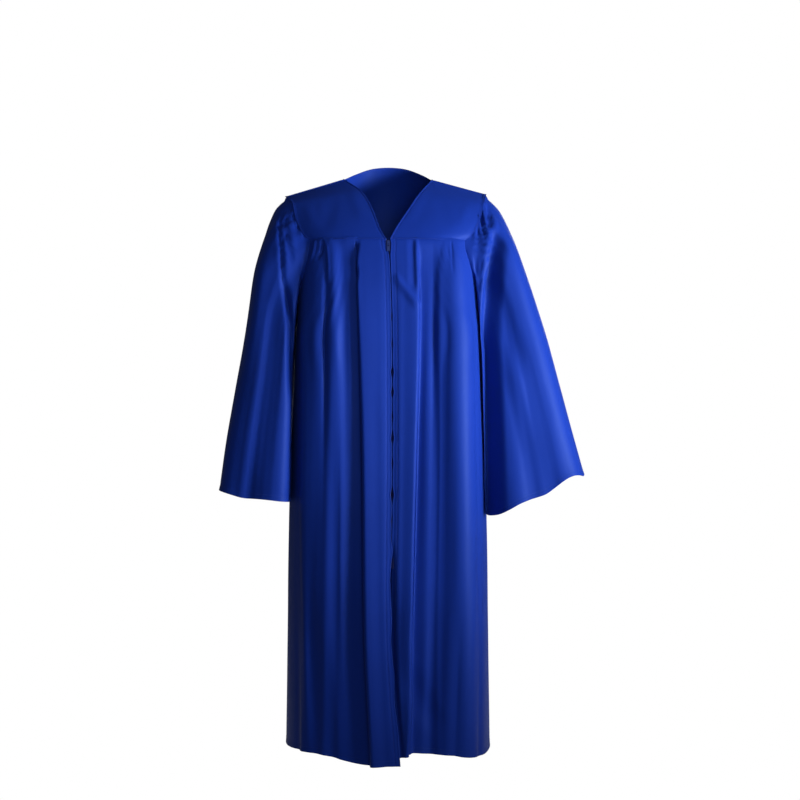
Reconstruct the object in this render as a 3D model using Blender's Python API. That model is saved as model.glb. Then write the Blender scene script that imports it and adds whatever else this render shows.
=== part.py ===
"""Graduation gown, worn form with no wearer: yokes, two fronts, back, two bell sleeves and a front zip.

Metres, +Z up. The front faces -Y and the wearer's left side is +X. The origin lies midway between
the shoulders, at the height of the shoulder line, where the wearer's shoulders carry the gown.
"""

import math

import bmesh
import bpy
import numpy as np

# Cloth and sewing
CLOTH = 0.0016
SEAM_GAP = 0.0003
SEAM_PLACES = 20000
SIDES = {"left": 1.0, "right": -1.0}

# Body rings: the gown's smooth shape round the figure, a row for each height
RING_COLUMNS = ("height", "half_width", "front_depth", "back_depth", "squareness")
BODY_RINGS = (
    (-0.080, 0.2000, 0.0990, 0.1080, 0.10),
    (-0.125, 0.2020, 0.1180, 0.1130, 0.10),
    (-0.200, 0.2040, 0.1390, 0.1200, 0.10),
    (-0.300, 0.2060, 0.1510, 0.1240, 0.10),
    (-0.480, 0.2160, 0.1600, 0.1290, 0.09),
    (-0.750, 0.2265, 0.1700, 0.1420, 0.08),
    (-1.000, 0.2295, 0.1800, 0.1550, 0.07),
    (-1.280, 0.2335, 0.1880, 0.1650, 0.06),
)

# Hem of the body, a row for each place across one front, from the zip to the side
HEM_COLUMNS = ("across", "left", "right")
FRONT_HEM = (
    (0.000, -1.268, -1.277),
    (0.020, -1.262, -1.278),
    (0.055, -1.253, -1.277),
    (0.095, -1.255, -1.269),
    (0.140, -1.258, -1.260),
    (0.185, -1.267, -1.257),
    (0.233, -1.272, -1.262),
)
BACK_HEM_HEIGHT = -1.284

# Zip line: where the two fronts meet, leaning to the wearer's left near the hem
ZIP_COLUMNS = ("height", "across")
ZIP_LINE = (
    (-0.118, 0.0000),
    (-0.150, 0.0035),
    (-0.280, 0.0090),
    (-0.480, 0.0108),
    (-0.750, 0.0100),
    (-0.950, 0.0085),
    (-1.040, 0.0120),
    (-1.130, 0.0175),
    (-1.220, 0.0260),
    (-1.290, 0.0300),
)
ZIP_END_HEIGHT = -0.850
FRONT_GAP = 0.0008
SLIDER_ROOM = 0.0046
SLIDER_ROOM_LENGTH = 0.018
OVERLAP_START_HEIGHT = -0.900
OVERLAP_AT_HEM = 0.026
UNDERLAP_DEPTH = 0.0085
UNDERLAP_RUN = 0.130
UNDERLAP_TURN = 0.22

# Neck, shoulders and armholes, each point as (across, depth, height)
SHOULDER_POINT = {"left": (0.2240, 0.0, -0.0110), "right": (0.2335, 0.0, -0.0155)}
NECK_SIDE_POINT = {"left": (0.1000, 0.0060, 0.0235), "right": (0.1000, 0.0060, 0.0250)}
BACK_NECK_POINTS = ((0.0700, 0.0480, 0.0455), (0.0400, 0.0680, 0.0590), (0.0, 0.0760, 0.0640))
FRONT_NECK_POINTS = {
    "left": (
        (0.0650, -0.0450, -0.0225),
        (0.0505, -0.0660, -0.0470),
        (0.0350, -0.0860, -0.0720),
        (0.0210, -0.1020, -0.0950),
    ),
    "right": (
        (0.0560, -0.0360, -0.0120),
        (0.0385, -0.0620, -0.0430),
        (0.0260, -0.0870, -0.0750),
        (0.0165, -0.1050, -0.1020),
    ),
}
YOKE_SEAM_HEIGHT = -0.1255
BACK_YOKE_SEAM_HEIGHT = -0.145
YOKE_CORNER_ANGLE = math.radians(50)
BACK_YOKE_CORNER_ANGLE = math.radians(126)
FRONT_YOKE_EDGE = (
    (0.2170, -0.0280, -0.0340),
    (0.2110, -0.0460, -0.0600),
    (0.2030, -0.0610, -0.0840),
    (0.1930, -0.0730, -0.1040),
    (0.1830, -0.0795, -0.1170),
)
BACK_YOKE_EDGE = (
    (0.2200, 0.0260, -0.0270),
    (0.2140, 0.0480, -0.0560),
    (0.2050, 0.0660, -0.0920),
)
BACK_YOKE_RELAXING = 5
UNDERARM_HEIGHT = -0.300
ARMHOLE_CURVE = 2.0

# Sleeves, a row for each section from armhole to hem: its outer and its inner edge, and its depth
SLEEVE_COLUMNS = (
    "outer_across", "outer_height", "inner_across", "inner_height", "half_depth", "depth_centre",
)
SLEEVE_SECTIONS = {
    "left": (
        (0.2240, -0.0110, 0.2060, -0.300, 0.084, 0.000),
        (0.2580, -0.0460, 0.2110, -0.326, 0.094, 0.002),
        (0.2864, -0.1080, 0.2145, -0.360, 0.103, 0.004),
        (0.3140, -0.1910, 0.2175, -0.410, 0.111, 0.006),
        (0.3416, -0.2737, 0.2205, -0.470, 0.118, 0.008),
        (0.3669, -0.3565, 0.2240, -0.535, 0.124, 0.009),
        (0.3968, -0.4670, 0.2275, -0.610, 0.129, 0.010),
        (0.4267, -0.5770, 0.2300, -0.685, 0.133, 0.010),
        (0.4474, -0.6510, 0.2320, -0.742, 0.135, 0.010),
    ),
    "right": (
        (0.2335, -0.0155, 0.2060, -0.300, 0.084, 0.000),
        (0.2630, -0.0460, 0.2110, -0.326, 0.096, 0.002),
        (0.2840, -0.1080, 0.2145, -0.360, 0.107, 0.004),
        (0.3060, -0.1910, 0.2175, -0.410, 0.117, 0.006),
        (0.3186, -0.2737, 0.2205, -0.470, 0.126, 0.008),
        (0.3310, -0.3565, 0.2240, -0.530, 0.133, 0.009),
        (0.3510, -0.4670, 0.2270, -0.595, 0.139, 0.010),
        (0.3700, -0.5770, 0.2295, -0.660, 0.143, 0.010),
        (0.3850, -0.6850, 0.2310, -0.712, 0.145, 0.010),
    ),
}
SLEEVE_SQUARENESS = 0.12
# The sleeve wraps a little round the body in front and behind: place and reach in degrees
SLEEVE_WRAP_PLACES = (134, 226)
SLEEVE_WRAP_REACH = 52
SLEEVE_WRAP = {"left": 0.034, "right": 0.030}
SLEEVE_REST_GAP = 0.0026
SLEEVE_REST_FOLDS = 0.010
SLEEVE_REST_TURN = math.radians(38)
SLEEVE_REST_EASE = 0.02

# Folds of the fronts and the back. The places are distances from the centre, seen from the front
# or the back, at five heights. A pleat folds over itself with its edge facing the side; a roll is
# a soft ridge, or a trough where its height is negative.
# A pleat's row: places, reach, overlap, drop, recovery, start below the yoke
# A roll's row: places, reach, heights
FOLD_HEIGHTS = (-0.12, -0.31, -0.62, -1.00, -1.28)
FOLD_START = 0.004
FOLD_RUN = 0.045
DROP_RUN = 0.014
ROLL_RUN = 0.03
FRONT_PLEATS = {
    "left": (((0.069, 0.071, 0.064, 0.053, 0.038), 0.019, 0.0140, 0.0100, 0.060, 0.050),),
    "right": (((0.067, 0.059, 0.051, 0.047, 0.031), 0.019, 0.0150, 0.0100, 0.055, 0.008),),
}
FRONT_ROLLS = {
    "left": (
        ((0.105, 0.112, 0.118, 0.112, 0.100), 0.034, (0.000, -0.006, -0.010, -0.011, -0.011)),
        ((0.150, 0.158, 0.163, 0.168, 0.172), 0.030, (0.004, 0.008, 0.010, 0.010, 0.009)),
        ((0.128, 0.118, 0.112, 0.110, 0.110), 0.010, (0.003, 0.002, 0.001, 0.000, 0.000)),
    ),
    "right": (
        ((0.118, 0.114, 0.108, 0.104, 0.100), 0.020, (0.002, 0.010, 0.009, 0.003, 0.000)),
        ((0.142, 0.134, 0.130, 0.128, 0.125), 0.014, (-0.002, -0.006, -0.004, -0.003, -0.002)),
        ((0.170, 0.172, 0.175, 0.180, 0.182), 0.026, (0.002, 0.004, 0.006, 0.009, 0.010)),
    ),
}
BACK_PLEATS = (((0.062, 0.060, 0.060, 0.062, 0.064), 0.019, 0.0130, 0.0095, 0.050, 0.012),)
BACK_ROLLS = (
    ((0.000, 0.000, 0.000, 0.000, 0.000), 0.030, (0.000, 0.002, 0.003, 0.004, 0.004)),
    ((0.110, 0.112, 0.115, 0.120, 0.124), 0.024, (0.004, 0.008, 0.010, 0.012, 0.013)),
    ((0.150, 0.152, 0.156, 0.162, 0.166), 0.018, (0.000, -0.004, -0.006, -0.007, -0.008)),
    ((0.190, 0.192, 0.196, 0.202, 0.206), 0.018, (0.000, 0.001, 0.002, 0.004, 0.005)),
)
# Sleeve folds, placed round the tube in degrees from the outer edge, the front first
# A fold's row: place at the armhole, place at the hem, reach, height at the top, height at the hem
SLEEVE_FOLDS = {
    "left": (
        (128, 118, 26, 0.004, 0.012),
        (95, 84, 20, -0.004, -0.010),
        (52, 50, 26, 0.003, 0.006),
        (232, 236, 26, 0.004, 0.012),
        (268, 276, 22, -0.003, -0.010),
        (312, 316, 24, 0.002, 0.007),
    ),
    "right": (
        (122, 120, 20, 0.004, 0.010),
        (98, 92, 20, -0.005, -0.013),
        (58, 52, 26, 0.003, 0.008),
        (236, 240, 24, 0.004, 0.011),
        (270, 272, 22, -0.003, -0.011),
        (310, 312, 26, 0.002, 0.008),
    ),
}
GATHERS_PER_YOKE_EDGE = 5
GATHER_HEIGHT = 0.0042
# A wave's row: place round the tube, reach, rise of the hem
SLEEVE_HEM_WAVES = {
    "left": ((58, 26, 0.015), (122, 22, -0.014), (285, 30, 0.006)),
    "right": ((80, 34, -0.004), (285, 30, 0.004)),
}

# Mesh steps
YOKE_ROWS = 8
SHOULDER_STEPS = 10
BACK_NECK_STEPS = 14
ARMHOLE_STEPS = 7
BELOW_ARM_STEPS = 7
FIRST_ROW_DROP = 0.010
SLEEVE_ROWS = (0.0, 0.022, 0.06, 0.115, 0.18, 0.26, 0.36, 0.48, 0.61, 0.74, 0.87, 1.0)
PLEAT_STEPS = (-1.0, -0.62, -0.42, -0.28, -0.16, -0.05, 0.05, 0.16, 0.28, 0.42, 0.62, 1.0)

# Zip
TAPE_WIDTH = 0.012
TAPE_THICKNESS = 0.0010
TAPE_GAP = 0.0004
CHAIN_WIDTH = 0.0050
CHAIN_THICKNESS = 0.0016
CHAIN_DEPTH = 0.0019
SLIDER_HEIGHT = -0.1340
SLIDER_SEAT = 0.0060
SLIDER_LENGTH = 0.0110
SLIDER_WIDTH = 0.0070
SLIDER_GAP = 0.0003
PLATE_THICKNESS = 0.0010
POST_WIDTH = 0.0024
POST_LENGTH = 0.0030
POST_INSET = 0.0003
BRIDGE_WIDTH = 0.0022
BRIDGE_THICKNESS = 0.0009
BRIDGE_RISE = 0.0035
BRIDGE_LENGTH = 0.0078
BRIDGE_CORNER = 0.25
PULL_LENGTH = 0.0200
PULL_WIDTH = 0.0062
PULL_THICKNESS = 0.0011
PULL_HOLE_LENGTH = 0.0068
PULL_HOLE_WIDTH = 0.0034
PULL_BAR = 0.0011
PULL_CORNER = 0.00025
PULL_HOLE_CORNER = 0.0004
PULL_AXIS_RISE = 0.00155
PULL_AXIS_TO_LEG = 0.00100
METAL_BEVEL = 0.0002

# Looks: colour, roughness and metallic share
CLOTH_LOOK = ((0.008, 0.026, 0.262), 0.38)
TAPE_LOOK = ((0.010, 0.030, 0.240), 0.7)
CHAIN_LOOK = ((0.010, 0.030, 0.240), 0.45)
METAL_LOOK = ((0.10, 0.16, 0.42), 0.3, 0.9)


# Curves and tables


def column(rows, columns, name):
    return np.array([row[columns.index(name)] for row in rows], float)


def smooth(at, places, values):
    """A smooth curve through the values (a point each, or a number each) at rising places."""
    at = np.clip(np.asarray(at, float), places[0], places[-1])
    values = np.asarray(values, float)
    slopes = np.gradient(values, places, axis=0)
    i = np.clip(np.searchsorted(places, at) - 1, 0, len(places) - 2)
    step = places[i + 1] - places[i]
    t = (at - places[i]) / step
    if values.ndim == 2:
        t, step = t[..., None], step[..., None]
    return (
        values[i] * (1 + 2 * t) * (1 - t) ** 2
        + values[i + 1] * t * t * (3 - 2 * t)
        + slopes[i] * step * t * (1 - t) ** 2
        - slopes[i + 1] * step * t * t * (1 - t)
    )


def from_table(rows, columns, name, by, at):
    """One column of a table, read smoothly at other places of the column that orders it."""
    order = column(rows, columns, by)
    values = column(rows, columns, name)
    if order[0] > order[-1]:
        order, values = order[::-1], values[::-1]
    return smooth(at, order, values)


def path_through(points, shares):
    """Points at the given shares, 0 to 1, of a smooth curve through named points."""
    points = np.asarray(points, float)
    run = np.concatenate([[0], np.cumsum(np.linalg.norm(np.diff(points, axis=0), axis=1))])
    return smooth(np.asarray(shares, float), run / run[-1], points)


def ease(value):
    value = np.clip(value, 0, 1)
    return value * value * (3 - 2 * value)


def on_side(points, side):
    """Points given as (across, depth, height), placed on the wearer's left or right."""
    return np.asarray(points, float) * (SIDES[side], 1, 1)


# The body's smooth shape


def ring_point(angle, height, out=0.0, along=0.0):
    """A point round the body: angle 0 at centre front, growing to the wearer's left side.

    out moves it off the ring, and along moves it round the ring.
    """
    angle, height = np.broadcast_arrays(np.asarray(angle, float), np.asarray(height, float))
    width = from_table(BODY_RINGS, RING_COLUMNS, "half_width", "height", height)
    front = from_table(BODY_RINGS, RING_COLUMNS, "front_depth", "height", height)
    back = from_table(BODY_RINGS, RING_COLUMNS, "back_depth", "height", height)
    square = from_table(BODY_RINGS, RING_COLUMNS, "squareness", "height", height)
    depth = np.where(np.cos(angle) > 0, front, back)
    swell = 1 + square * np.sin(2 * angle) ** 2
    swell_rate = 2 * square * np.sin(4 * angle)
    x = width * swell * np.sin(angle)
    y = -depth * swell * np.cos(angle)
    dx = width * (swell_rate * np.sin(angle) + swell * np.cos(angle))
    dy = -depth * (swell_rate * np.cos(angle) - swell * np.sin(angle))
    speed = np.hypot(dx, dy)
    dx, dy = dx / speed, dy / speed
    return np.stack([x + dy * out + dx * along, y - dx * out + dy * along, height], axis=-1)


def ring_speed(angle, height):
    """Metres round the ring for each radian of angle."""
    step = 0.01
    ends = ring_point(angle - step, height), ring_point(angle + step, height)
    return np.linalg.norm(ends[1] - ends[0], axis=-1) / (2 * step)


def angle_across(across, height, back=False):
    """The angle at which the ring is that far from the centre plane, on the wearer's left."""
    width = from_table(BODY_RINGS, RING_COLUMNS, "half_width", "height", height)
    square = from_table(BODY_RINGS, RING_COLUMNS, "squareness", "height", height)
    angle = np.zeros(np.broadcast(across, height).shape)
    for _ in range(12):
        swell = 1 + square * np.sin(2 * angle) ** 2
        angle = np.arcsin(np.clip(across / (width * swell), -1, 1))
    return math.pi - angle if back else angle


def armhole_angle(height, back=False):
    corner = BACK_YOKE_CORNER_ANGLE if back else YOKE_CORNER_ANGLE
    top = BACK_YOKE_SEAM_HEIGHT if back else YOKE_SEAM_HEIGHT
    share = np.clip((top - height) / (top - UNDERARM_HEIGHT), 0, 1) ** ARMHOLE_CURVE
    return corner + (math.pi / 2 - corner) * share


def armhole_heights(back=False):
    top = BACK_YOKE_SEAM_HEIGHT if back else YOKE_SEAM_HEIGHT
    return np.concatenate([[top], np.linspace(top - FIRST_ROW_DROP, UNDERARM_HEIGHT, ARMHOLE_STEPS)])


def zip_across(height):
    return from_table(ZIP_LINE, ZIP_COLUMNS, "across", "height", height)


def front_edge_across(side, height):
    """How far the front's zip edge is from the centre plane, on its own side."""
    room = FRONT_GAP + SLIDER_ROOM * np.exp(-(((height - SLIDER_HEIGHT) / SLIDER_ROOM_LENGTH) ** 2))
    edge = SIDES[side] * zip_across(height) + room
    if side == "left":
        edge = edge - (OVERLAP_AT_HEM + FRONT_GAP) * loose_share(height)
    else:
        edge = edge - 1.4 * FRONT_GAP * loose_share(height)
    return edge


def loose_share(height):
    """0 where the fronts meet edge to edge, growing to 1 at the hem, where they overlap most."""
    return ease((OVERLAP_START_HEIGHT - height) / (OVERLAP_START_HEIGHT - BACK_HEM_HEIGHT))


# Folds


def pleat(offset, reach, overlap, drop, recovery):
    """A knife pleat at offset 0: (move round the ring, move off the ring)."""
    t = np.clip(offset / reach, -1, 1)
    along = -overlap * np.sin(np.pi * t) * np.cos(np.pi * t / 2) ** 2
    depth = drop * ease((t + 0.42) / 0.84)
    return along, -depth * (1 - ease((offset - reach) / recovery))


def roll(offset, reach):
    return np.cos(np.clip(offset / reach, -1, 1) * np.pi / 2) ** 2


def fold_moves(angle, height, seam_height, pleats, rolls, back=False):
    """The folds' moves for a panel on the wearer's left: (round the ring, off the ring)."""
    heights = np.array(FOLD_HEIGHTS[::-1])
    below = seam_height - height
    along = np.zeros(np.shape(angle))
    out = np.zeros(np.shape(angle))
    for places, reach, overlap, drop, recovery, start in pleats:
        centre = angle_across(smooth(height, heights, places[::-1]), height, back)
        offset = (angle - centre) * ring_speed(angle, height) * (-1 if back else 1)
        folded = overlap * ease((below - start - FOLD_START) / FOLD_RUN)
        sunk = drop * ease(below / (start + DROP_RUN))
        moved, dropped = pleat(offset, reach, folded, sunk, recovery)
        along = along + moved * (-1 if back else 1)
        out = out + dropped
    for places, reach, sizes in rolls:
        centre = angle_across(smooth(height, heights, places[::-1]), height, back)
        offset = (angle - centre) * ring_speed(angle, height)
        size = smooth(height, heights, sizes[::-1]) * ease(below / ROLL_RUN)
        out = out + roll(offset, reach) * size
    return along, out


# Panels as grids of points: rows from top to bottom, columns from the centre outwards


def patch(top, bottom, inner, outer):
    """A surface between four edges that meet at its corners."""
    down = np.linspace(0, 1, len(inner))[:, None, None]
    across = np.linspace(0, 1, len(top))[None, :, None]
    ruled_down = top[None] * (1 - down) + bottom[None] * down
    ruled_across = inner[:, None] * (1 - across) + outer[:, None] * across
    corners = (
        top[0] * (1 - down) * (1 - across)
        + top[-1] * (1 - down) * across
        + bottom[0] * down * (1 - across)
        + bottom[-1] * down * across
    )
    return ruled_down + ruled_across - corners


def relaxed(points, times):
    """A grid eased towards an even surface, its edges kept."""
    for _ in range(times):
        near = points[:-2, 1:-1] + points[2:, 1:-1] + points[1:-1, :-2] + points[1:-1, 2:]
        points[1:-1, 1:-1] = near / 4
    return points


def even(steps):
    return np.linspace(0, 1, steps + 1)


def yoke_seam(side, shares):
    """The front yoke's lower seam, from the zip to the armhole."""
    start = angle_across(front_edge_across(side, YOKE_SEAM_HEIGHT), YOKE_SEAM_HEIGHT)
    angle = start + (YOKE_CORNER_ANGLE - start) * shares
    return on_side(ring_point(angle, np.full(len(angle), YOKE_SEAM_HEIGHT)), side)


def shoulder_seam(side, shares):
    return on_side(path_through([NECK_SIDE_POINT[side], SHOULDER_POINT[side]], shares), side)


def front_neck_edge(side, shares):
    bottom = yoke_seam(side, np.array([0.0]))[0] * (SIDES[side], 1, 1)
    return on_side(path_through([NECK_SIDE_POINT[side], *FRONT_NECK_POINTS[side], bottom], shares), side)


def yoke_edge(side, shares, back=False):
    """The yoke's armhole edge, from the shoulder point down to the yoke's corner."""
    if back:
        corner = ring_point(BACK_YOKE_CORNER_ANGLE, BACK_YOKE_SEAM_HEIGHT)
        middle = BACK_YOKE_EDGE
    else:
        corner = ring_point(YOKE_CORNER_ANGLE, YOKE_SEAM_HEIGHT)
        middle = FRONT_YOKE_EDGE
    return on_side(path_through([SHOULDER_POINT[side], *middle, corner], shares), side)


def front_yoke(side):
    return patch(
        shoulder_seam(side, even(SHOULDER_STEPS)),
        yoke_seam(side, even(SHOULDER_STEPS)),
        front_neck_edge(side, even(YOKE_ROWS)),
        yoke_edge(side, even(YOKE_ROWS)),
    )


def back_neck_edge(shares):
    """The back neckline from the wearer's right to the left."""
    half = [NECK_SIDE_POINT["left"], *BACK_NECK_POINTS]
    other = [on_side(p, "right") for p in [NECK_SIDE_POINT["right"], *BACK_NECK_POINTS[:-1]]]
    return path_through([*other, *half[::-1]], shares)


def back_yoke():
    columns = 2 * SHOULDER_STEPS + BACK_NECK_STEPS
    top = np.concatenate(
        [
            shoulder_seam("right", even(SHOULDER_STEPS))[::-1],
            back_neck_edge(even(BACK_NECK_STEPS))[1:-1],
            shoulder_seam("left", even(SHOULDER_STEPS)),
        ]
    )
    angle = np.linspace(2 * math.pi - BACK_YOKE_CORNER_ANGLE, BACK_YOKE_CORNER_ANGLE, columns + 1)
    bottom = ring_point(angle, np.full(columns + 1, BACK_YOKE_SEAM_HEIGHT))
    edges = yoke_edge("right", even(YOKE_ROWS), True), yoke_edge("left", even(YOKE_ROWS), True)
    return relaxed(patch(top, bottom, *edges), BACK_YOKE_RELAXING)


def side_heights(side):
    """Heights of the side seam's points, from the underarm to the hem."""
    hem = FRONT_HEM[-1][HEM_COLUMNS.index(side)]
    return np.linspace(UNDERARM_HEIGHT, hem, BELOW_ARM_STEPS + 1)[1:]


def with_pleat_steps(start, end, centres, reach_angles, plain_steps):
    """Columns between two angles that crowd round each pleat: their angles, a row for each height."""
    parts = []
    at = start
    for centre, reach, steps in zip(centres, reach_angles, plain_steps):
        stop = centre - reach
        parts += [at + (stop - at) * share for share in even(steps)[:-1]]
        parts += [centre + reach * t for t in PLEAT_STEPS[:-1]]
        at = centre + reach
    parts += [at + (end - at) * share for share in even(plain_steps[-1])]
    return np.stack(parts, axis=-1)


def front_panel(side):
    """A front from yoke seam to hem, with its folds."""
    outer_height = np.concatenate([armhole_heights(), side_heights(side)])
    outer_angle = armhole_angle(outer_height)
    share_down = (outer_height - outer_height[0]) / (outer_height[-1] - outer_height[0])
    centre_height = outer_height
    inner_angle = angle_across(front_edge_across(side, centre_height), centre_height)
    pleats, rolls = FRONT_PLEATS[side], FRONT_ROLLS[side]
    heights = np.array(FOLD_HEIGHTS[::-1])
    places = [smooth(centre_height, heights, p[0][::-1]) for p in pleats]
    centres = [angle_across(place, centre_height) for place in places]
    reaches = [p[1] / ring_speed(c, centre_height) for p, c in zip(pleats, centres)]
    angle = with_pleat_steps(inner_angle, outer_angle, centres, reaches, (6, 17))
    across = ring_point(angle, np.repeat(outer_height[:, None], angle.shape[1], 1))[..., 0]
    hem = from_table(FRONT_HEM, HEM_COLUMNS, side, "across", across[-1])
    height = outer_height[:, None] + (hem - outer_height[-1])[None] * (ease(share_down)[:, None])
    along, out = fold_moves(angle, height, YOKE_SEAM_HEIGHT, pleats, rolls)
    calm = ease((outer_angle[:, None] - angle) / 0.16)
    if side == "left":
        under = UNDERLAP_DEPTH * ease((ZIP_END_HEIGHT - height[:, :1]) / UNDERLAP_RUN)
        out = out - under * (1 - ease((angle - angle[:, :1]) / UNDERLAP_TURN))
    points = ring_point(angle, height, out * calm, along)
    return on_side(points, side)


def back_panel():
    """The back from yoke seam to hem, from the wearer's right to the left, with its folds."""
    halves = {}
    for side in SIDES:
        outer_height = np.concatenate([armhole_heights(True), side_heights(side)])
        outer_angle = armhole_angle(outer_height, True)
        heights = np.array(FOLD_HEIGHTS[::-1])
        places, reach = BACK_PLEATS[0][0], BACK_PLEATS[0][1]
        centre = math.pi - angle_across(smooth(outer_height, heights, places[::-1]), outer_height, True)
        reach_angle = reach / ring_speed(math.pi - centre, outer_height)
        from_centre = with_pleat_steps(
            np.zeros(len(outer_height)), math.pi - outer_angle, [centre], [reach_angle], (4, 13)
        )
        angle = math.pi - from_centre
        share = from_centre / from_centre[:, -1:]
        drop = (BACK_HEM_HEIGHT - outer_height[-1]) * (1 - ease(share))
        share_down = ease((outer_height - outer_height[0]) / (outer_height[-1] - outer_height[0]))
        height = outer_height[:, None] + drop * share_down[:, None]
        along, out = fold_moves(angle, height, BACK_YOKE_SEAM_HEIGHT, BACK_PLEATS, BACK_ROLLS, True)
        calm = ease((angle - outer_angle[:, None]) / 0.16)
        halves[side] = on_side(ring_point(angle, height, out * calm, along), side)
    return np.concatenate([halves["right"][:, ::-1], halves["left"][:, 1:]], axis=1)


def armhole(side):
    """The armhole's points all round: down the front from the shoulder point, and up the back."""
    front_heights, back_heights = armhole_heights(), armhole_heights(True)
    front = on_side(ring_point(armhole_angle(front_heights), front_heights), side)
    back = on_side(ring_point(armhole_angle(back_heights, True), back_heights), side)
    loop = [
        yoke_edge(side, even(YOKE_ROWS))[:-1],
        front[:-1],
        back[::-1][:-1],
        yoke_edge(side, even(YOKE_ROWS), True)[::-1],
    ]
    return np.concatenate(loop)


def clear_of_body(points, share):
    """Points on the wearer's left, moved out where they would come nearer to the body than cloth lies."""
    x, y, height = points[..., 0], points[..., 1], points[..., 2]
    width = from_table(BODY_RINGS, RING_COLUMNS, "half_width", "height", height)
    front = from_table(BODY_RINGS, RING_COLUMNS, "front_depth", "height", height)
    back = from_table(BODY_RINGS, RING_COLUMNS, "back_depth", "height", height)
    depth = np.where(y < 0, front, back)
    angle = np.arctan2(x / width, -y / depth)
    from_side = np.abs(angle - math.pi / 2)
    distance = SLEEVE_REST_GAP + SLEEVE_REST_FOLDS * ease(from_side / SLEEVE_REST_TURN)
    target = ring_point(angle, height, distance)
    here = np.hypot(x / width, y / depth)
    there = np.hypot(target[..., 0] / width, target[..., 1] / depth)
    moved = (here + there + np.sqrt((here - there) ** 2 + SLEEVE_REST_EASE**2)) / 2
    below_yoke = ease((YOKE_SEAM_HEIGHT - height) / 0.06)
    scale = 1 + (moved / here - 1) * share * below_yoke
    return np.stack([x * scale, y * scale, height], axis=-1)


def halved(points):
    """The same line with a point added in the middle of each step."""
    middle = (points[1:] + points[:-1]) / 2
    out = np.empty((2 * len(points) - 1, 3))
    out[0::2], out[1::2] = points, middle
    return out


def sleeve(side):
    """A sleeve as rings from the armhole to its hem, the last column closing on the first."""
    seam = halved(armhole(side)) * (SIDES[side], 1, 1)
    run = np.concatenate([[0], np.cumsum(np.linalg.norm(np.diff(seam, axis=0), axis=1))])
    turn = 2 * math.pi * run / run[-1]
    sections = SLEEVE_SECTIONS[side]
    order = np.linspace(0, 1, len(sections))
    part = {
        name: smooth(np.array(SLEEVE_ROWS), order, column(sections, SLEEVE_COLUMNS, name))
        for name in SLEEVE_COLUMNS
    }
    outer = np.stack([part["outer_across"], part["depth_centre"], part["outer_height"]], -1)
    inner = np.stack([part["inner_across"], part["depth_centre"], part["inner_height"]], -1)
    middle, half_width = (outer + inner) / 2, (outer - inner) / 2
    down = np.array(SLEEVE_ROWS)[:, None]
    degrees = np.degrees(turn)[None]
    out = np.zeros((len(SLEEVE_ROWS), len(turn)))
    for at_top, at_hem, reach, top, bottom in SLEEVE_FOLDS[side]:
        place = at_top + (at_hem - at_top) * down
        out = out + roll(degrees - place, reach) * (top + (bottom - top) * down) * ease(down / 0.2)
    edge_share = 360 * run[2 * YOKE_ROWS] / run[-1]
    back_share = 360 * (run[-1] - run[-1 - 2 * YOKE_ROWS]) / run[-1]
    for span, place in ((edge_share, degrees), (back_share, 360 - degrees)):
        wave = np.cos(2 * np.pi * GATHERS_PER_YOKE_EDGE * place / span)
        window = ease((span - place) / (0.2 * span)) * ease(place / (0.1 * span) + 0.4)
        fade = ease(down / 0.03) * (1 - ease((down - 0.05) / 0.26))
        out = out + GATHER_HEIGHT * wave * window * fade
    swell = 1 + SLEEVE_SQUARENESS * np.sin(2 * turn) ** 2
    length = np.linalg.norm(half_width, axis=-1)
    depth = part["half_depth"]
    cos, sin = np.cos(turn) * swell, np.sin(turn) * swell
    widen = 1 + out / length[:, None]
    deepen = 1 + out / depth[:, None]
    points = middle[:, None] + half_width[:, None] * (cos * widen)[..., None]
    points[..., 1] -= depth[:, None] * sin * deepen
    for place in SLEEVE_WRAP_PLACES:
        points[..., 0] -= SLEEVE_WRAP[side] * roll(degrees - place, SLEEVE_WRAP_REACH) * ease(down / 0.3)
    tube = points.copy()
    fade = (1 - ease(down / 0.34))[..., None]
    points = tube + (seam[None] - tube[:1]) * fade
    points = clear_of_body(points, ease(down / 0.08))
    for place, reach, rise in SLEEVE_HEM_WAVES[side]:
        points[..., 2] += rise * roll(degrees - place, reach) * ease((down - 0.45) / 0.55)
    points[0] = seam
    return on_side(points, side)


# Walls


def unit(vectors):
    return vectors / np.linalg.norm(vectors, axis=-1, keepdims=True)


def bisected(points, axis, closed=False):
    """Unit directions along one axis of a grid, and how far each point's bend opens the wall."""
    points = np.moveaxis(points, axis, 0)
    steps = unit(np.diff(points, axis=0))
    first, last = (steps[-1:], steps[:1]) if closed else (steps[:1], steps[-1:])
    before = np.concatenate([first, steps])
    after = np.concatenate([steps, last])
    way = unit(before + after)
    opening = 1 / np.clip(np.sum(way * before, axis=-1), 0.75, 1)
    return np.moveaxis(way, 0, axis), np.moveaxis(opening, 0, axis)


def make_panel(points, facing, seams, closed=False, level_rows=()):
    """A panel: its outer face's points and the directions in which its wall has its thickness."""
    across, opening = bisected(points, 1, closed)
    down, _ = bisected(points, 0)
    normal = unit(np.cross(across, -down)) * facing
    for row in level_rows:
        normal[row, :, 2] = 0
        normal[row] = unit(normal[row])
        opening[row] = 1
    return {
        "points": points,
        "normal": normal,
        "opening": opening,
        "facing": facing,
        "seams": seams,
        "closed": closed,
    }


def edge_of(grid, seam):
    """One stretch of a grid's edge. The armholes and the side seams are parts of a panel's sides."""
    underarm = 1 + ARMHOLE_STEPS
    return {
        "top": grid[0],
        "bottom": grid[-1],
        "start": grid[:, 0],
        "end": grid[:, -1],
        "start_armhole": grid[:underarm, 0],
        "end_armhole": grid[:underarm, -1],
        "start_side": grid[underarm - 1:, 0],
        "end_side": grid[underarm - 1:, -1],
    }[seam]


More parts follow.
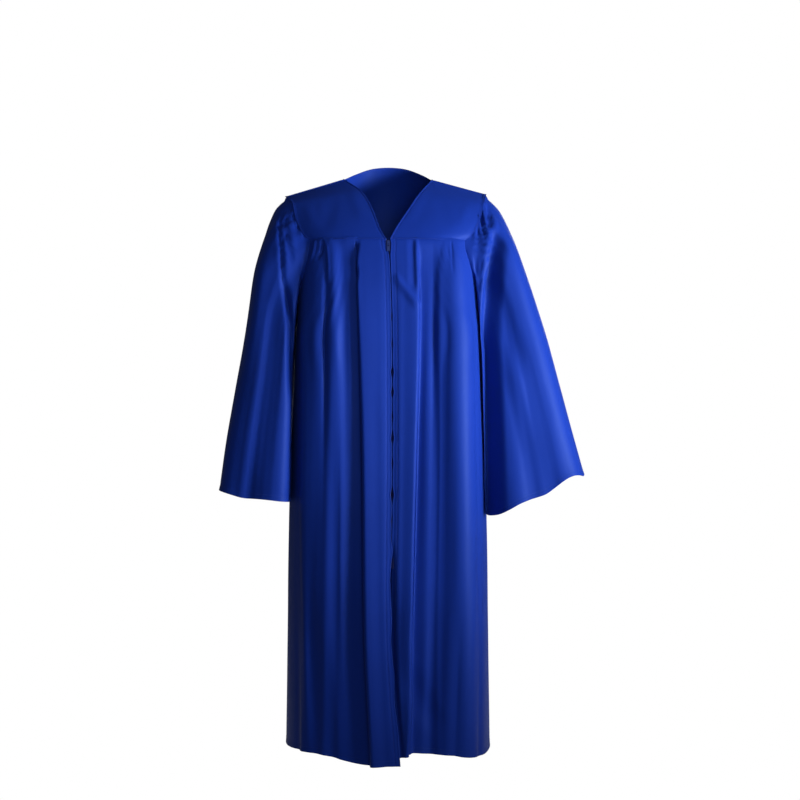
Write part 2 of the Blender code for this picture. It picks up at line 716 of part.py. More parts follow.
def inside_edge(grid, seam):
    """The grid's next points in from a stretch of its edge."""
    if seam == "top":
        return grid[1]
    if seam == "bottom":
        return grid[-2]
    return edge_of(grid[:, 1:-1], seam)


def seam_place(point):
    return tuple(np.round(point * SEAM_PLACES) + 0.0)


def join_walls(panels):
    """Gives panels that meet at a seam the same wall direction there, the body's counting as one."""
    body, sleeves = {}, {}
    for panel in panels:
        found = sleeves if panel["closed"] else body
        for seam in panel["seams"]:
            for point, normal in zip(edge_of(panel["points"], seam), edge_of(panel["normal"], seam)):
                found.setdefault(seam_place(point), []).append(normal.copy())
    for panel in panels:
        for seam in panel["seams"]:
            normals = edge_of(panel["normal"], seam)
            openings = edge_of(panel["opening"], seam)
            for index, point in enumerate(edge_of(panel["points"], seam)):
                place = seam_place(point)
                if place in body:
                    normals[index] = unit(np.sum(body[place], axis=0))
                    openings[index] = 1
                if place in body and place in sleeves:
                    normals[index] = unit(normals[index] + sleeves[place][0])
        if panel["closed"]:
            top = panel["normal"][0]
            top[1::2] = (top[0:-1:2] + top[2::2]) / 2
            panel["opening"][0] = 1


def wall_faces(panel):
    """The outer and the inner face's points, each seam drawn back by half the gap between pieces."""
    points, normal = panel["points"], panel["normal"]
    outer = points.copy()
    inner = points - normal * (CLOTH * panel["opening"])[..., None]
    for seam in panel["seams"]:
        line = edge_of(points, seam)
        facing = edge_of(normal, seam).copy()
        if seam.endswith("side"):
            facing[0] = facing[1]
        aside = unit(np.cross(np.gradient(line, axis=0), facing))
        inward = inside_edge(points, seam) - line
        aside = aside * np.sign(np.sum(aside * inward, axis=-1, keepdims=True))
        edge_of(outer, seam)[...] += aside * SEAM_GAP / 2
        edge_of(inner, seam)[...] += aside * SEAM_GAP / 2
    if panel["closed"]:
        outer[:, -1], inner[:, -1] = outer[:, 0], inner[:, 0]
    return outer, inner


def loft(outer, inner, facing, closed=False):
    """Vertices and faces of a wall between two grids of points."""
    if closed:
        outer, inner = outer[:, :-1], inner[:, :-1]
    rows, columns = outer.shape[:2]
    across = [(j, (j + 1) % columns) for j in range(columns if closed else columns - 1)]
    skin = rows * columns
    faces = []
    for i in range(rows - 1):
        for j, k in across:
            a, b = i * columns + j, i * columns + k
            c, d = (i + 1) * columns + k, (i + 1) * columns + j
            faces.append((a, d, c, b))
            faces.append((skin + a, skin + b, skin + c, skin + d))
    last = (rows - 1) * columns
    for j, k in across:
        faces.append((j, k, skin + k, skin + j))
        faces.append((last + k, last + j, skin + last + j, skin + last + k))
    if not closed:
        for i in range(rows - 1):
            a, d = i * columns, (i + 1) * columns
            faces.append((d, a, skin + a, skin + d))
            b, c = a + columns - 1, d + columns - 1
            faces.append((b, c, skin + c, skin + b))
    if facing < 0:
        faces = [face[::-1] for face in faces]
    return np.concatenate([outer.reshape(-1, 3), inner.reshape(-1, 3)]), faces


# Objects


def clear_file():
    for thing in list(bpy.data.objects):
        bpy.data.objects.remove(thing, do_unlink=True)


def make_collection(name):
    collection = bpy.data.collections.new(name)
    bpy.context.scene.collection.children.link(collection)
    return collection


def make_material(name, colour, roughness, metallic=0.0):
    material = bpy.data.materials.new(name)
    material.use_nodes = True
    shader = material.node_tree.nodes["Principled BSDF"]
    shader.inputs["Base Color"].default_value = (*colour, 1.0)
    shader.inputs["Roughness"].default_value = roughness
    shader.inputs["Metallic"].default_value = metallic
    return material


def add_object(name, mesh, collection, material, origin=(0, 0, 0)):
    item = bpy.data.objects.new(name, mesh)
    mesh.materials.append(material)
    item.location = origin
    collection.objects.link(item)
    return item


def mesh_of(name, vertices, faces):
    mesh = bpy.data.meshes.new(name)
    mesh.from_pydata([tuple(map(float, v)) for v in vertices], [], faces)
    mesh.validate()
    return mesh


def add_panel(name, panel, collection, material):
    outer, inner = wall_faces(panel)
    vertices, faces = loft(outer, inner, panel["facing"], panel["closed"])
    return add_object(name, mesh_of(name, vertices, faces), collection, material)


# Zip


def zip_heights():
    """Heights of the zip's points: the rows of the fronts, from the top to the zip's end."""
    rows = np.concatenate([armhole_heights(), side_heights("left")])
    rows = rows[rows > ZIP_END_HEIGHT + 0.01]
    return np.append(rows, ZIP_END_HEIGHT)


def zip_strip(heights, aside, depth):
    """Points that run down the zip line, moved aside from it and in from the cloth's outer face."""
    rows = np.concatenate([armhole_heights(), side_heights("left")])
    angle = angle_across(zip_across(rows), rows)
    points = ring_point(angle + aside / ring_speed(angle, rows), rows, -depth)
    return np.stack([np.interp(-heights, -rows, points[:, axis]) for axis in range(3)], axis=-1)


def zip_ribbon(heights, aside_start, aside_end, depth, thickness):
    skins = [
        np.stack([zip_strip(heights, aside, inset) for aside in (aside_start, aside_end)], axis=1)
        for inset in (depth, depth + thickness)
    ]
    return loft(*skins, 1)


def slider_frame():
    """The cloth's surface at the slider: its middle and how far it leans back, in radians."""
    reach = np.array([SLIDER_SEAT, 0.0, -SLIDER_SEAT])
    ends = zip_strip(SLIDER_HEIGHT + reach, 0.0, 0.0)
    return ends[1], math.atan2(ends[0][1] - ends[2][1], ends[0][2] - ends[2][2])


def placed(points):
    """Points in the slider's own frame (across, in from the cloth, up), moved to the slider."""
    middle, lean = slider_frame()
    points = np.asarray(points, float)
    y = points[..., 1] * math.cos(lean) + points[..., 2] * math.sin(lean)
    z = -points[..., 1] * math.sin(lean) + points[..., 2] * math.cos(lean)
    return np.stack([points[..., 0], y, z], axis=-1) + middle


def add_block(name, low, high, collection, material, origin, bevel=METAL_BEVEL):
    """A box with softened edges, given in the slider's frame, its object's origin at a point."""
    mesh = bpy.data.meshes.new(name)
    work = bmesh.new()
    bmesh.ops.create_cube(work, size=1.0)
    low, high = np.array(low), np.array(high)
    for vertex in work.verts:
        vertex.co = low + (np.array(vertex.co) + 0.5) * (high - low)
    bmesh.ops.bevel(
        work, geom=work.edges[:], offset=bevel, offset_type="OFFSET", affect="EDGES",
        segments=1, profile=0.5, material=-1,
    )
    for vertex in work.verts:
        vertex.co = placed(vertex.co) - origin
    work.to_mesh(mesh)
    work.free()
    return add_object(name, mesh, collection, material, origin)


def add_arch(name, low, high, thickness, width, collection, material, origin):
    """The slider's bridge: a flat loop standing on the front plate, as (in, up) corner points."""
    front, bottom = low
    back, top = high
    corner = BRIDGE_CORNER * (back - front)
    outline = [
        (back, bottom),
        (front + corner, bottom),
        (front, bottom + corner),
        (front, top - corner),
        (front + corner, top),
        (back, top),
        (back, top - thickness),
        (front + corner + 0.3 * thickness, top - thickness),
        (front + thickness, top - corner - 0.3 * thickness),
        (front + thickness, bottom + corner + 0.3 * thickness),
        (front + corner + 0.3 * thickness, bottom + thickness),
        (back, bottom + thickness),
    ]
    mesh = bpy.data.meshes.new(name)
    work = bmesh.new()
    ring = [work.verts.new((-width / 2, y, z)) for y, z in outline]
    half = len(outline) // 2
    faces = []
    for index in range(half - 1):
        other = len(outline) - 1 - index
        faces.append(work.faces.new((ring[index], ring[index + 1], ring[other - 1], ring[other])))
    grown = bmesh.ops.extrude_face_region(work, geom=faces)
    moved = [item for item in grown["geom"] if isinstance(item, bmesh.types.BMVert)]
    bmesh.ops.translate(work, verts=moved, vec=(width, 0, 0))
    bmesh.ops.recalc_face_normals(work, faces=work.faces)
    for vertex in work.verts:
        vertex.co = placed(vertex.co) - origin
    work.to_mesh(mesh)
    work.free()
    return add_object(name, mesh, collection, material, origin)


def combine(item, tool, operation):
    step = item.modifiers.new(tool.name, "BOOLEAN")
    step.operation = operation
    step.solver = "EXACT"
    step.object = tool


def add_slider(parts, tools, material):
    half_length, half_width = SLIDER_LENGTH / 2, SLIDER_WIDTH / 2
    origin = slider_frame()[0]
    face = CHAIN_DEPTH - SLIDER_GAP - PLATE_THICKNESS
    rear = CHAIN_DEPTH + CHAIN_THICKNESS + SLIDER_GAP
    inside_face = face + PLATE_THICKNESS / 2
    inside_rear = rear + PLATE_THICKNESS / 2
    slider = add_block(
        "zip_slider",
        (-half_width, face, -half_length),
        (half_width, face + PLATE_THICKNESS, half_length),
        parts, material, origin,
    )
    rear_plate = add_block(
        "slider_rear_plate",
        (-half_width, rear, -half_length),
        (half_width, rear + PLATE_THICKNESS, half_length),
        tools, material, origin,
    )
    post = add_block(
        "slider_post",
        (-POST_WIDTH / 2, inside_face, half_length - POST_LENGTH - POST_INSET),
        (POST_WIDTH / 2, inside_rear, half_length - POST_INSET),
        tools, material, origin,
    )
    bridge = add_arch(
        "slider_bridge",
        (face - BRIDGE_RISE, -BRIDGE_LENGTH / 2),
        (inside_face, BRIDGE_LENGTH / 2),
        BRIDGE_THICKNESS, BRIDGE_WIDTH, tools, material, origin,
    )
    for tool in (rear_plate, post, bridge):
        combine(slider, tool, "UNION")


def pull_axis():
    """The line on which the pull tab turns, in the slider's frame: (across, in, up)."""
    face = CHAIN_DEPTH - SLIDER_GAP - PLATE_THICKNESS
    leg = -BRIDGE_LENGTH / 2 + BRIDGE_THICKNESS
    return np.array([0.0, face - PULL_AXIS_RISE, leg + PULL_AXIS_TO_LEG])


def add_pull(parts, tools, material):
    axis = pull_axis()
    origin = placed(axis)
    half, bar = PULL_THICKNESS / 2, PULL_BAR / 2
    low = axis + (-PULL_WIDTH / 2, -half, bar - PULL_LENGTH)
    high = axis + (PULL_WIDTH / 2, half, bar)
    pull = add_block("zip_pull", low, high, parts, material, origin, PULL_CORNER)
    hole_low = axis + (-PULL_HOLE_WIDTH / 2, -2 * PULL_THICKNESS, -bar - PULL_HOLE_LENGTH)
    hole_high = axis + (PULL_HOLE_WIDTH / 2, 2 * PULL_THICKNESS, -bar)
    hole = add_block("pull_hole", hole_low, hole_high, tools, material, origin, PULL_HOLE_CORNER)
    combine(pull, hole, "DIFFERENCE")


def main():
    clear_file()
    parts = make_collection("graduation_gown")
    tools = make_collection("cutters")
    tools.hide_render = True
    seams = {
        "front_yoke": ("top", "bottom", "end"),
        "back_yoke": ("top", "bottom", "start", "end"),
        "front": ("top", "end_armhole", "end_side"),
        "back": ("top", "start_armhole", "start_side", "end_armhole", "end_side"),
        "sleeve": ("top",),
    }
    panels = {
        "back_yoke": make_panel(back_yoke(), -1, seams["back_yoke"], level_rows=(-1,)),
        "back": make_panel(back_panel(), -1, seams["back"], level_rows=(0,)),
    }
    for side, sign in SIDES.items():
        yoke, front = front_yoke(side), front_panel(side)
        panels["front_yoke_" + side] = make_panel(yoke, sign, seams["front_yoke"], level_rows=(-1,))
        panels["front_" + side] = make_panel(front, sign, seams["front"], level_rows=(0,))
        panels["sleeve_" + side] = make_panel(sleeve(side), -sign, seams["sleeve"], closed=True)
    join_walls(list(panels.values()))
    for name, panel in panels.items():
        add_panel(name, panel, parts, make_material(name + "_cloth", *CLOTH_LOOK))

    heights = zip_heights()
    inside = CLOTH + TAPE_GAP
    tape_start = CHAIN_WIDTH / 2 + SEAM_GAP
    for side, sign in SIDES.items():
        edges = sorted((sign * tape_start, sign * (tape_start + TAPE_WIDTH)))
        name = "zip_tape_" + side
        mesh = mesh_of(name, *zip_ribbon(heights, *edges, inside, TAPE_THICKNESS))
        add_object(name, mesh, parts, make_material(name + "_woven", *TAPE_LOOK))
    post_foot = SLIDER_LENGTH / 2 - POST_INSET - POST_LENGTH
    chain_top = placed((0.0, CHAIN_DEPTH + CHAIN_THICKNESS, post_foot))[2] - SLIDER_GAP
    chain_heights = np.concatenate([[chain_top], heights[heights < chain_top - 0.001]])
    chain = zip_ribbon(chain_heights, -CHAIN_WIDTH / 2, CHAIN_WIDTH / 2, CHAIN_DEPTH, CHAIN_THICKNESS)
    nylon = make_material("zip_chain_nylon", *CHAIN_LOOK)
    add_object("zip_chain", mesh_of("zip_chain", *chain), parts, nylon)
    add_slider(parts, tools, make_material("zip_slider_metal", *METAL_LOOK))
    add_pull(parts, tools, make_material("zip_pull_metal", *METAL_LOOK))
    for tool in tools.objects:
        tool.hide_render = True
        tool.display_type = "WIRE"


main()
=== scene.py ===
import math

import bmesh
import bpy
import numpy as np
from mathutils import Matrix, Vector, noise


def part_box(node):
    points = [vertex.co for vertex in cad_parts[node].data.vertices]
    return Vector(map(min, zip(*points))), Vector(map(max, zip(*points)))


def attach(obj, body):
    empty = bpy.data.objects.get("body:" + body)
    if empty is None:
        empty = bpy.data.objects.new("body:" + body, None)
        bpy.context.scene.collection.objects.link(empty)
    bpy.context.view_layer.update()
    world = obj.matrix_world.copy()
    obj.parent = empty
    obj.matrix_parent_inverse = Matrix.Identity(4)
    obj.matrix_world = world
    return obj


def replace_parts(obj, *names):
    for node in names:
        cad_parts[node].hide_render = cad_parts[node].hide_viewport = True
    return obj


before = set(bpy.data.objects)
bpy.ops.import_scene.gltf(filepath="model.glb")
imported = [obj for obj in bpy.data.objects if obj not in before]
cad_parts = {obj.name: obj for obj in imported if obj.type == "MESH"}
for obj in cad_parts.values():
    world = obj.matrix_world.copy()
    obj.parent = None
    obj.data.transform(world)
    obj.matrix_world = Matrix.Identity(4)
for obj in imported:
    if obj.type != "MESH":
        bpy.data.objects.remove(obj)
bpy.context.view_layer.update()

bl_info = {
    "name": "Graduation gown cloth",
    "version": (1, 0, 0),
    "blender": (4, 5, 0),
    "location": "3D View > Sidebar > Gown",
    "description": "Dresses the gown's solids in pleated satin, with its zip, stitching and studio",
    "category": "Object",
}

BODY = "gown"
SIDES = {"left": 1.0, "right": -1.0}
HEM_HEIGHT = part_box("back")[0][2]

# The solids' walls, as they are read back into single sheets, and the mesh's least steps
RIM_WIDTH = 0.0022
WELD = 0.00002
LEVEL = 0.001
FINEST_STEP = 0.0008
LAST_STEP_SHARE = 0.3
LEAST_RUN = 1e-9
LEAST_LENGTH = 1e-12

# The zip: its tapes, and the two rows of beads that stand for the coil's turns
TAPE_THICKNESS = 0.0004
COIL_WIDTH = 0.0048
COIL_HEIGHT = 0.0014
COIL_ROW_SHARE = 0.22
TURN_WIDTH_SHARE = 0.62
TURN_LENGTH_SHARE = 0.66
# The tapes and the coil take the thread's colour darkened by these shares: painted shade, so that the zip
# shows dark in the gaps between the front edges
TAPE_SHADE_SHARE = 0.5
COIL_SHADE_SHARE = 0.4
TAPE_RIB = 0.0008
COIL_RIB = 0.0012
THREAD_RIB = 0.0004
LACQUER_COLOUR = (0.05, 0.09, 0.34)

# How far a finish strays from its own colour, as shares of it, and how its pattern lies
SATIN_DYES = (0.86, 1.14)
THREAD_DYES = (0.7, 1.2)
WORN_SHARE = 1.6
WORN_RISE = 0.02
TWILL_LEAN = math.radians(63)
TWILL_SHARE = 0.22
SLUB_STRETCH = (1.0, 0.12, 1.0)

# Stage, with a row for each light: its name, place and aim, its size in metres and spread in degrees
FLOOR_REACH = 9.0
FLOOR_DROP = 0.30
PAPER_COLOUR = (0.8, 0.8, 0.8)
CAMERA_ACROSS = 0.0276
CAMERA_HEIGHT = -0.483
SURROUND_COLOUR = (0.92, 0.96, 1.0, 1.0)
WHITE = (1.0, 1.0, 1.0, 1.0)
LIGHTS = (
    ("key", (1.90, -1.12, -0.38), (0.14, 0.0, -0.24), 0.7, 60),
    ("fill", (0.5, -2.5, 0.15), (0.05, 0.0, -0.14), 1.2, 75),
    ("back", (0.3, 2.8, 0.6), (0.0, 0.0, -0.50), 1.8, 180),
)

# How a fold fades where the cloth turns away: the lean of its normal where the fold starts to show, and
# how much further it leans where the fold is whole
CREASE_SEEN = (0.15, 0.3)
FOLD_SEEN = (0.05, 0.35)
HOLLOW_SEEN = (0.25, 0.5)
CREASE_STEPS = 6
LEAST_SPACING = 0.001

# The long folds of each sheet, laid from its front edge towards its side. Each row is a line
# that runs down the cloth: how far across it lies at the five heights, and how far it stands off there.
FOLD_HEIGHTS = (-0.12, -0.31, -0.62, -1.00, -1.29)
FLAT = (0.0, 0.0, 0.0, 0.0, 0.0)
FRONT_FOLDS = {
    "right": (
        ((0.01, 0.01, 0.01, 0.014, 0.03), FLAT),
        ((-0.02, -0.018, -0.016, -0.012, 0.002), (0.0, 0.0024, 0.003, 0.003, 0.001)),
        ((-0.065, -0.057, -0.05, -0.045, -0.03), (0.0, 0.004, 0.007, 0.008, 0.007)),
        ((-0.072, -0.066, -0.058, -0.054, -0.04), (0.001, 0.004, 0.0, -0.002, -0.004)),
        ((-0.088, -0.084, -0.084, -0.088, -0.086), (0.001, 0.004, 0.002, -0.008, -0.01)),
        ((-0.108, -0.106, -0.106, -0.112, -0.116), (0.0, -0.001, -0.004, -0.008, -0.009)),
        ((-0.131, -0.131, -0.132, -0.138, -0.15), (0.002, 0.004, 0.008, 0.002, -0.003)),
        ((-0.142, -0.143, -0.146, -0.154, -0.166), (0.002, 0.011, 0.009, 0.001, -0.003)),
        ((-0.154, -0.157, -0.162, -0.172, -0.186), (0.002, 0.011, 0.009, -0.001, -0.004)),
        ((-0.17, -0.174, -0.18, -0.188, -0.198), (0.002, 0.011, 0.009, -0.002, -0.004)),
        ((-0.215, -0.22, -0.225, -0.228, -0.232), FLAT),
    ),
    "left": (
        ((0.006, 0.006, 0.007, 0.01, 0.028), FLAT),
        ((0.034, 0.032, 0.03, 0.028, 0.036), (0.0, 0.004, 0.005, 0.005, 0.001)),
        ((0.064, 0.067, 0.06, 0.051, 0.047), (0.001, 0.008, 0.01, 0.009, 0.005)),
        ((0.071, 0.074, 0.066, 0.057, 0.055), (0.0, -0.005, -0.007, -0.008, -0.006)),
        ((0.098, 0.098, 0.094, 0.088, 0.092), (0.0, 0.004, 0.004, 0.0, -0.001)),
        ((0.118, 0.118, 0.116, 0.112, 0.116), (0.001, 0.012, 0.013, 0.008, 0.005)),
        ((0.148, 0.152, 0.158, 0.166, 0.172), (0.002, 0.018, 0.021, 0.02, 0.015)),
        ((0.176, 0.18, 0.186, 0.194, 0.198), (0.002, 0.014, 0.016, 0.014, 0.01)),
        ((0.214, 0.22, 0.226, 0.23, 0.232), FLAT),
    ),
}
BACK_FOLDS = (
    ((-0.215, -0.22, -0.226, -0.23, -0.232), FLAT),
    ((-0.176, -0.18, -0.186, -0.192, -0.196), (0.0006, 0.002, 0.003, 0.003, 0.002)),
    ((-0.132, -0.14, -0.148, -0.16, -0.168), (-0.001, -0.002, -0.003, -0.002, -0.001)),
    ((-0.096, -0.098, -0.102, -0.11, -0.112), (0.0012, 0.002, 0.003, 0.004, 0.003)),
    ((-0.03, -0.032, -0.034, -0.03, -0.034), (0.0, -0.002, -0.003, -0.004, -0.003)),
    ((-0.006, -0.004, 0.002, 0.008, 0.01), (0.0, 0.002, 0.003, 0.004, 0.004)),
    ((0.03, 0.032, 0.036, 0.044, 0.048), (0.0, -0.0015, -0.003, -0.005, -0.005)),
    ((0.092, 0.094, 0.098, 0.102, 0.106), (0.0014, 0.003, 0.004, 0.004, 0.004)),
    ((0.13, 0.134, 0.14, 0.15, 0.154), (-0.0008, -0.002, -0.003, -0.003, -0.002)),
    ((0.172, 0.176, 0.182, 0.19, 0.194), (0.0006, 0.0025, 0.004, 0.004, 0.003)),
    ((0.214, 0.22, 0.226, 0.23, 0.232), FLAT),
)
SLEEVE_FOLDS = {
    "right": (
        ((-0.204, -0.2, -0.212, -0.24, -0.26), FLAT),
        ((-0.232, -0.244, -0.254, -0.28, -0.3), (0.0, -0.0006, -0.001, -0.0012, -0.0014)),
        ((-0.246, -0.268, -0.29, -0.314, -0.33), (0.0, 0.0006, 0.0008, 0.001, 0.0012)),
        ((-0.282, -0.312, -0.35, -0.38, -0.4), FLAT),
    ),
    "left": (
        ((0.204, 0.206, 0.216, 0.24, 0.26), FLAT),
        ((0.244, 0.268, 0.29, 0.316, 0.33), (0.0, 0.0006, 0.001, 0.0016, 0.002)),
        ((0.262, 0.296, 0.33, 0.356, 0.37), (0.0, -0.0008, -0.0012, -0.0012, -0.0012)),
        ((0.29, 0.33, 0.38, 0.42, 0.44), FLAT),
    ),
}

# Short creases: their places as (across, height), their reach to either side, their rise, and how far
# their ends fade
FRONT_CREASES = {
    "right": (
        (((-0.071, -0.124), (-0.07, -0.15), (-0.067, -0.23)), 0.003, 0.0016, -0.004, 0.03),
        (((-0.146, -0.122), (-0.145, -0.144), (-0.1484, -0.158), (-0.161, -0.168)),
         0.006, 0.005, -0.006, 0.014),
        (((-0.137, -0.13), (-0.133, -0.16), (-0.13, -0.23)), 0.006, 0.006, 0.0026, 0.02),
        (((-0.18, -0.122), (-0.188, -0.15), (-0.201, -0.19)), 0.006, 0.006, -0.005, 0.014),
        (((-0.162, -0.12), (-0.166, -0.15), (-0.176, -0.18)), 0.005, 0.007, 0.0026, 0.016),
        (((-0.17, -0.9), (-0.156, -1.08), (-0.15, -1.29)), 0.03, 0.026, -0.004, 0.12),
        (((-0.0015, -0.118), (0.001, -0.166)), 0.012, 0.012, -0.0011, 0.01),
    ),
    "left": (
        (((0.014, -0.204), (0.042, -0.24), (0.074, -0.28)), 0.018, 0.008, 0.0036, 0.016),
        (((0.0555, -0.118), (0.057, -0.19), (0.059, -0.246)), 0.016, 0.008, -0.0032, 0.022),
        (((0.1415, -0.12), (0.143, -0.15), (0.144, -0.21)), 0.0036, 0.0036, -0.002, 0.024),
        (((0.0085, -0.78), (0.009, -0.9), (0.0095, -1.02), (0.0135, -1.09), (0.02, -1.16),
          (0.0265, -1.22), (0.032, -1.3)), 0.004, 0.011, -0.0045, 0.06),
        (((0.044, -1.05), (0.064, -1.12), (0.1, -1.18), (0.13, -1.21)), 0.04, 0.04, -0.0035, 0.06),
        (((0.174, -0.128), (0.18, -0.156), (0.19, -0.18)), 0.005, 0.005, -0.0034, 0.014),
    ),
}
YOKE_CREASES = {
    "right": (
        (((-0.12, -0.018), (-0.132, -0.06), (-0.14, -0.112)), 0.024, 0.026, -0.0009, 0.03),
        (((-0.19, -0.026), (-0.176, -0.066), (-0.16, -0.1)), 0.02, 0.02, 0.0009, 0.03),
        (((-0.09, 0.01), (-0.07, -0.04), (-0.048, -0.09)), 0.022, 0.022, 0.0009, 0.03),
    ),
    "left": (
        (((0.11, -0.018), (0.124, -0.06), (0.13, -0.112)), 0.024, 0.024, -0.0009, 0.03),
        (((0.186, -0.026), (0.172, -0.066), (0.16, -0.1)), 0.02, 0.02, 0.0009, 0.03),
        (((0.09, 0.01), (0.066, -0.04), (0.04, -0.09)), 0.022, 0.022, 0.0009, 0.03),
    ),
}
SLEEVE_CREASES = {
    "right": (
        (((-0.238, -0.049), (-0.243, -0.083), (-0.238, -0.14), (-0.234, -0.205), (-0.227, -0.256),
          (-0.218, -0.31)), 0.007, 0.006, -0.006, 0.03),
        (((-0.227, -0.052), (-0.231, -0.083), (-0.226, -0.121), (-0.218, -0.149), (-0.212, -0.186)),
         0.006, 0.006, -0.005, 0.026),
        (((-0.218, -0.072), (-0.214, -0.11), (-0.206, -0.16)), 0.007, 0.007, 0.0016, 0.024),
    ),
    "left": (
        (((0.2129, -0.042), (0.2132, -0.083), (0.222, -0.124)), 0.005, 0.005, -0.006, 0.02),
        (((0.2265, -0.036), (0.229, -0.069), (0.224, -0.106)), 0.005, 0.005, -0.006, 0.02),
        (((0.2016, -0.092), (0.2039, -0.133), (0.1975, -0.178), (0.1975, -0.21)),
         0.005, 0.005, -0.005, 0.02),
        (((0.22, -0.06), (0.221, -0.09), (0.2265, -0.126), (0.22, -0.168), (0.208, -0.254)),
         0.006, 0.006, 0.004, 0.024),
        (((0.239, -0.06), (0.243, -0.09), (0.242, -0.11)), 0.008, 0.008, 0.003, 0.02),
        (((0.27, -0.34), (0.295, -0.45), (0.33, -0.6), (0.347, -0.7), (0.36, -0.86)),
         0.036, 0.036, 0.009, 0.12),
    ),
}

# The hollow where each sleeve's front goes in behind the body's side, sunk straight back
SLEEVE_HOLLOWS = {
    "right": (
        (((-0.232, -0.2), (-0.222, -0.26), (-0.217, -0.31), (-0.215, -0.38), (-0.212, -0.5)),
         0.014, 0.01, 0.01, 0.08),
        (((-0.33, -0.16), (-0.37, -0.4), (-0.4, -0.6), (-0.41, -0.86)), 0.11, 0.13, 0.018, 0.1),
        (((-0.26, -0.08), (-0.275, -0.2), (-0.29, -0.3), (-0.315, -0.45), (-0.335, -0.6),
          (-0.35, -0.86)), 0.07, 0.055, 0.014, 0.1),
    ),
    "left": (
        (((0.2468, -0.08), (0.233, -0.14), (0.223, -0.215), (0.2165, -0.29), (0.2152, -0.35),
          (0.2197, -0.483), (0.2242, -0.709), (0.227, -0.86)), 0.009, 0.042, 0.019, 0.06),
        (((0.2152, -0.25), (0.2152, -0.35), (0.2197, -0.483), (0.2242, -0.709), (0.227, -0.88)),
         0.012, 0.075, 0.012, 0.14),
    ),
}

# How far each sleeve is drawn away from the body at its front: (height, distance)
DRAWN_BACK = ((-0.24, 0.0), (-0.32, 0.006), (-0.38, 0.009), (-0.44, 0.008), (-0.54, 0.004), (-0.66, 0.0))
DRAWN_FROM = 0.245
DRAWN_OVER = 0.045
DRAWN_FRONT = 0.02
DRAWN_FRONT_RUN = 0.06

# Puckers down from a sleeve's armhole seam: a share of the way round from the underarm by the back,
# the width, the rise and the length of each
PUCKERS = (
    (0.1, 0.01, 0.001, 0.04), (0.16, 0.012, -0.0014, 0.06), (0.21, 0.009, 0.0016, 0.05),
    (0.27, 0.01, -0.002, 0.075), (0.32, 0.008, 0.0018, 0.06), (0.37, 0.008, -0.002, 0.09),
    (0.42, 0.007, 0.0016, 0.07), (0.47, 0.008, -0.0014, 0.05), (0.53, 0.008, -0.0012, 0.04),
)
PUCKER_SHARE = {"left": 1.0, "right": 0.3}
PUCKER_START = 0.004
GATHERED_LENGTH = 0.110
GATHERS_START = 0.012
EVENED_LENGTH = 0.060

# Each sheet's own unevenness: its share of the ripple's height, and its seed
RIPPLES = {
    "front_yoke_left": (0.5, 3.0), "front_yoke_right": (0.5, -3.0), "back_yoke": (0.6, 11.0),
    "front_left": (1.0, 6.0), "front_right": (1.0, 4.0), "back": (1.0, 17.0),
    "sleeve_left": (1.0, 24.0), "sleeve_right": (1.0, 22.0),
}
SWELLS_ACROSS = 20
SWELLS_DOWN = 4
FINE_SWELLS_ACROSS = 44
FINE_SWELLS_DOWN = 8
FINE_SWELL_SHARE = 0.4
CALM_EDGE = 0.02

# The zip edges' uneven openings: the height, the reach up and down, and how far the edge draws back
ZIP_EDGE_GAPS = (
    (-0.3, 0.014, 0.001), (-0.36, 0.012, 0.0012), (-0.422, 0.016, 0.0022), (-0.4656, 0.014, 0.0024),
    (-0.52, 0.014, 0.001), (-0.566, 0.016, 0.0026), (-0.62, 0.014, 0.0012), (-0.69, 0.02, 0.0028),
    (-0.745, 0.016, 0.0008),
)
LAP_EDGE_WAVES = (
    (-0.815, 0.03, 0.003), (-0.88, 0.04, -0.0014), (-0.96, 0.04, 0.0016), (-1.01, 0.03, -0.0014),
    (-1.08, 0.036, 0.0018), (-1.14, 0.03, -0.0016), (-1.2, 0.03, 0.0014),
)

# How a sheet ends: how far its edge laps on, how far it lifts, and how far in the lift reaches. The way
# that it laps is read over the last few mesh steps.
EDGE_STEPS = 3
YOKE_LAP = (0.002, 0.0013, 0.005)
NECK_ROLL = (0.0, 0.0007, 0.005)
TUCKED_SEAM = (0.0045, -0.0012, 0.006)
OVER_SEAM = (0.0022, 0.0002, 0.005)
UNDER_SEAM = (0.0022, -0.0012, 0.005)
TURNED_HEM = (0.0, 0.0008, 0.012)
ZIP_EDGE_TURN = (0.0, 0.0008, 0.004)
TUCK_START = 0.02
NECK_SHARE = 0.45
NECK_FADE = 0.01
ZIP_EDGE_RUN = 0.014
STITCH_DIP = 0.0006
STITCH_REACH = 0.0024

# Sewing lines, a row for each: its piece, or both of a pair, its edge, how far in it runs, and the
# part of the edge that it covers
SEWING_LINES = (
    ("front_yoke", "top", 0.0024, 0.0, 1.0),
    ("front_yoke", "start", 0.004, 0.0, 1.0),
    ("front_yoke", "end", 0.0026, 0.0, 1.0),
    ("back_yoke", "top", 0.0024, 0.0, 1.0),
    ("back_yoke", "bottom", 0.004, 0.31, 0.69),
    ("front", "start", 0.011, 0.0, 1.0),
    ("front", "bottom", 0.012, 0.0, 1.0),
    ("back", "bottom", 0.012, 0.0, 1.0),
    ("sleeve", "bottom", 0.011, 0.0, 1.0),
)
SINGLE_PIECES = ("back_yoke", "back")
STITCH_RISE_SHARE = 0.2


# Properties


def length_setting(name, description, default):
    return bpy.props.FloatProperty(
        name=name, description=description, default=default, subtype="DISTANCE", unit="LENGTH"
    )


def colour_setting(name, description, default):
    return bpy.props.FloatVectorProperty(
        name=name, description=description, default=default, size=3, subtype="COLOR", min=0.0, max=1.0
    )


def power_setting(name, description, default):
    return bpy.props.FloatProperty(name=name, description=description, default=default, min=0.0)


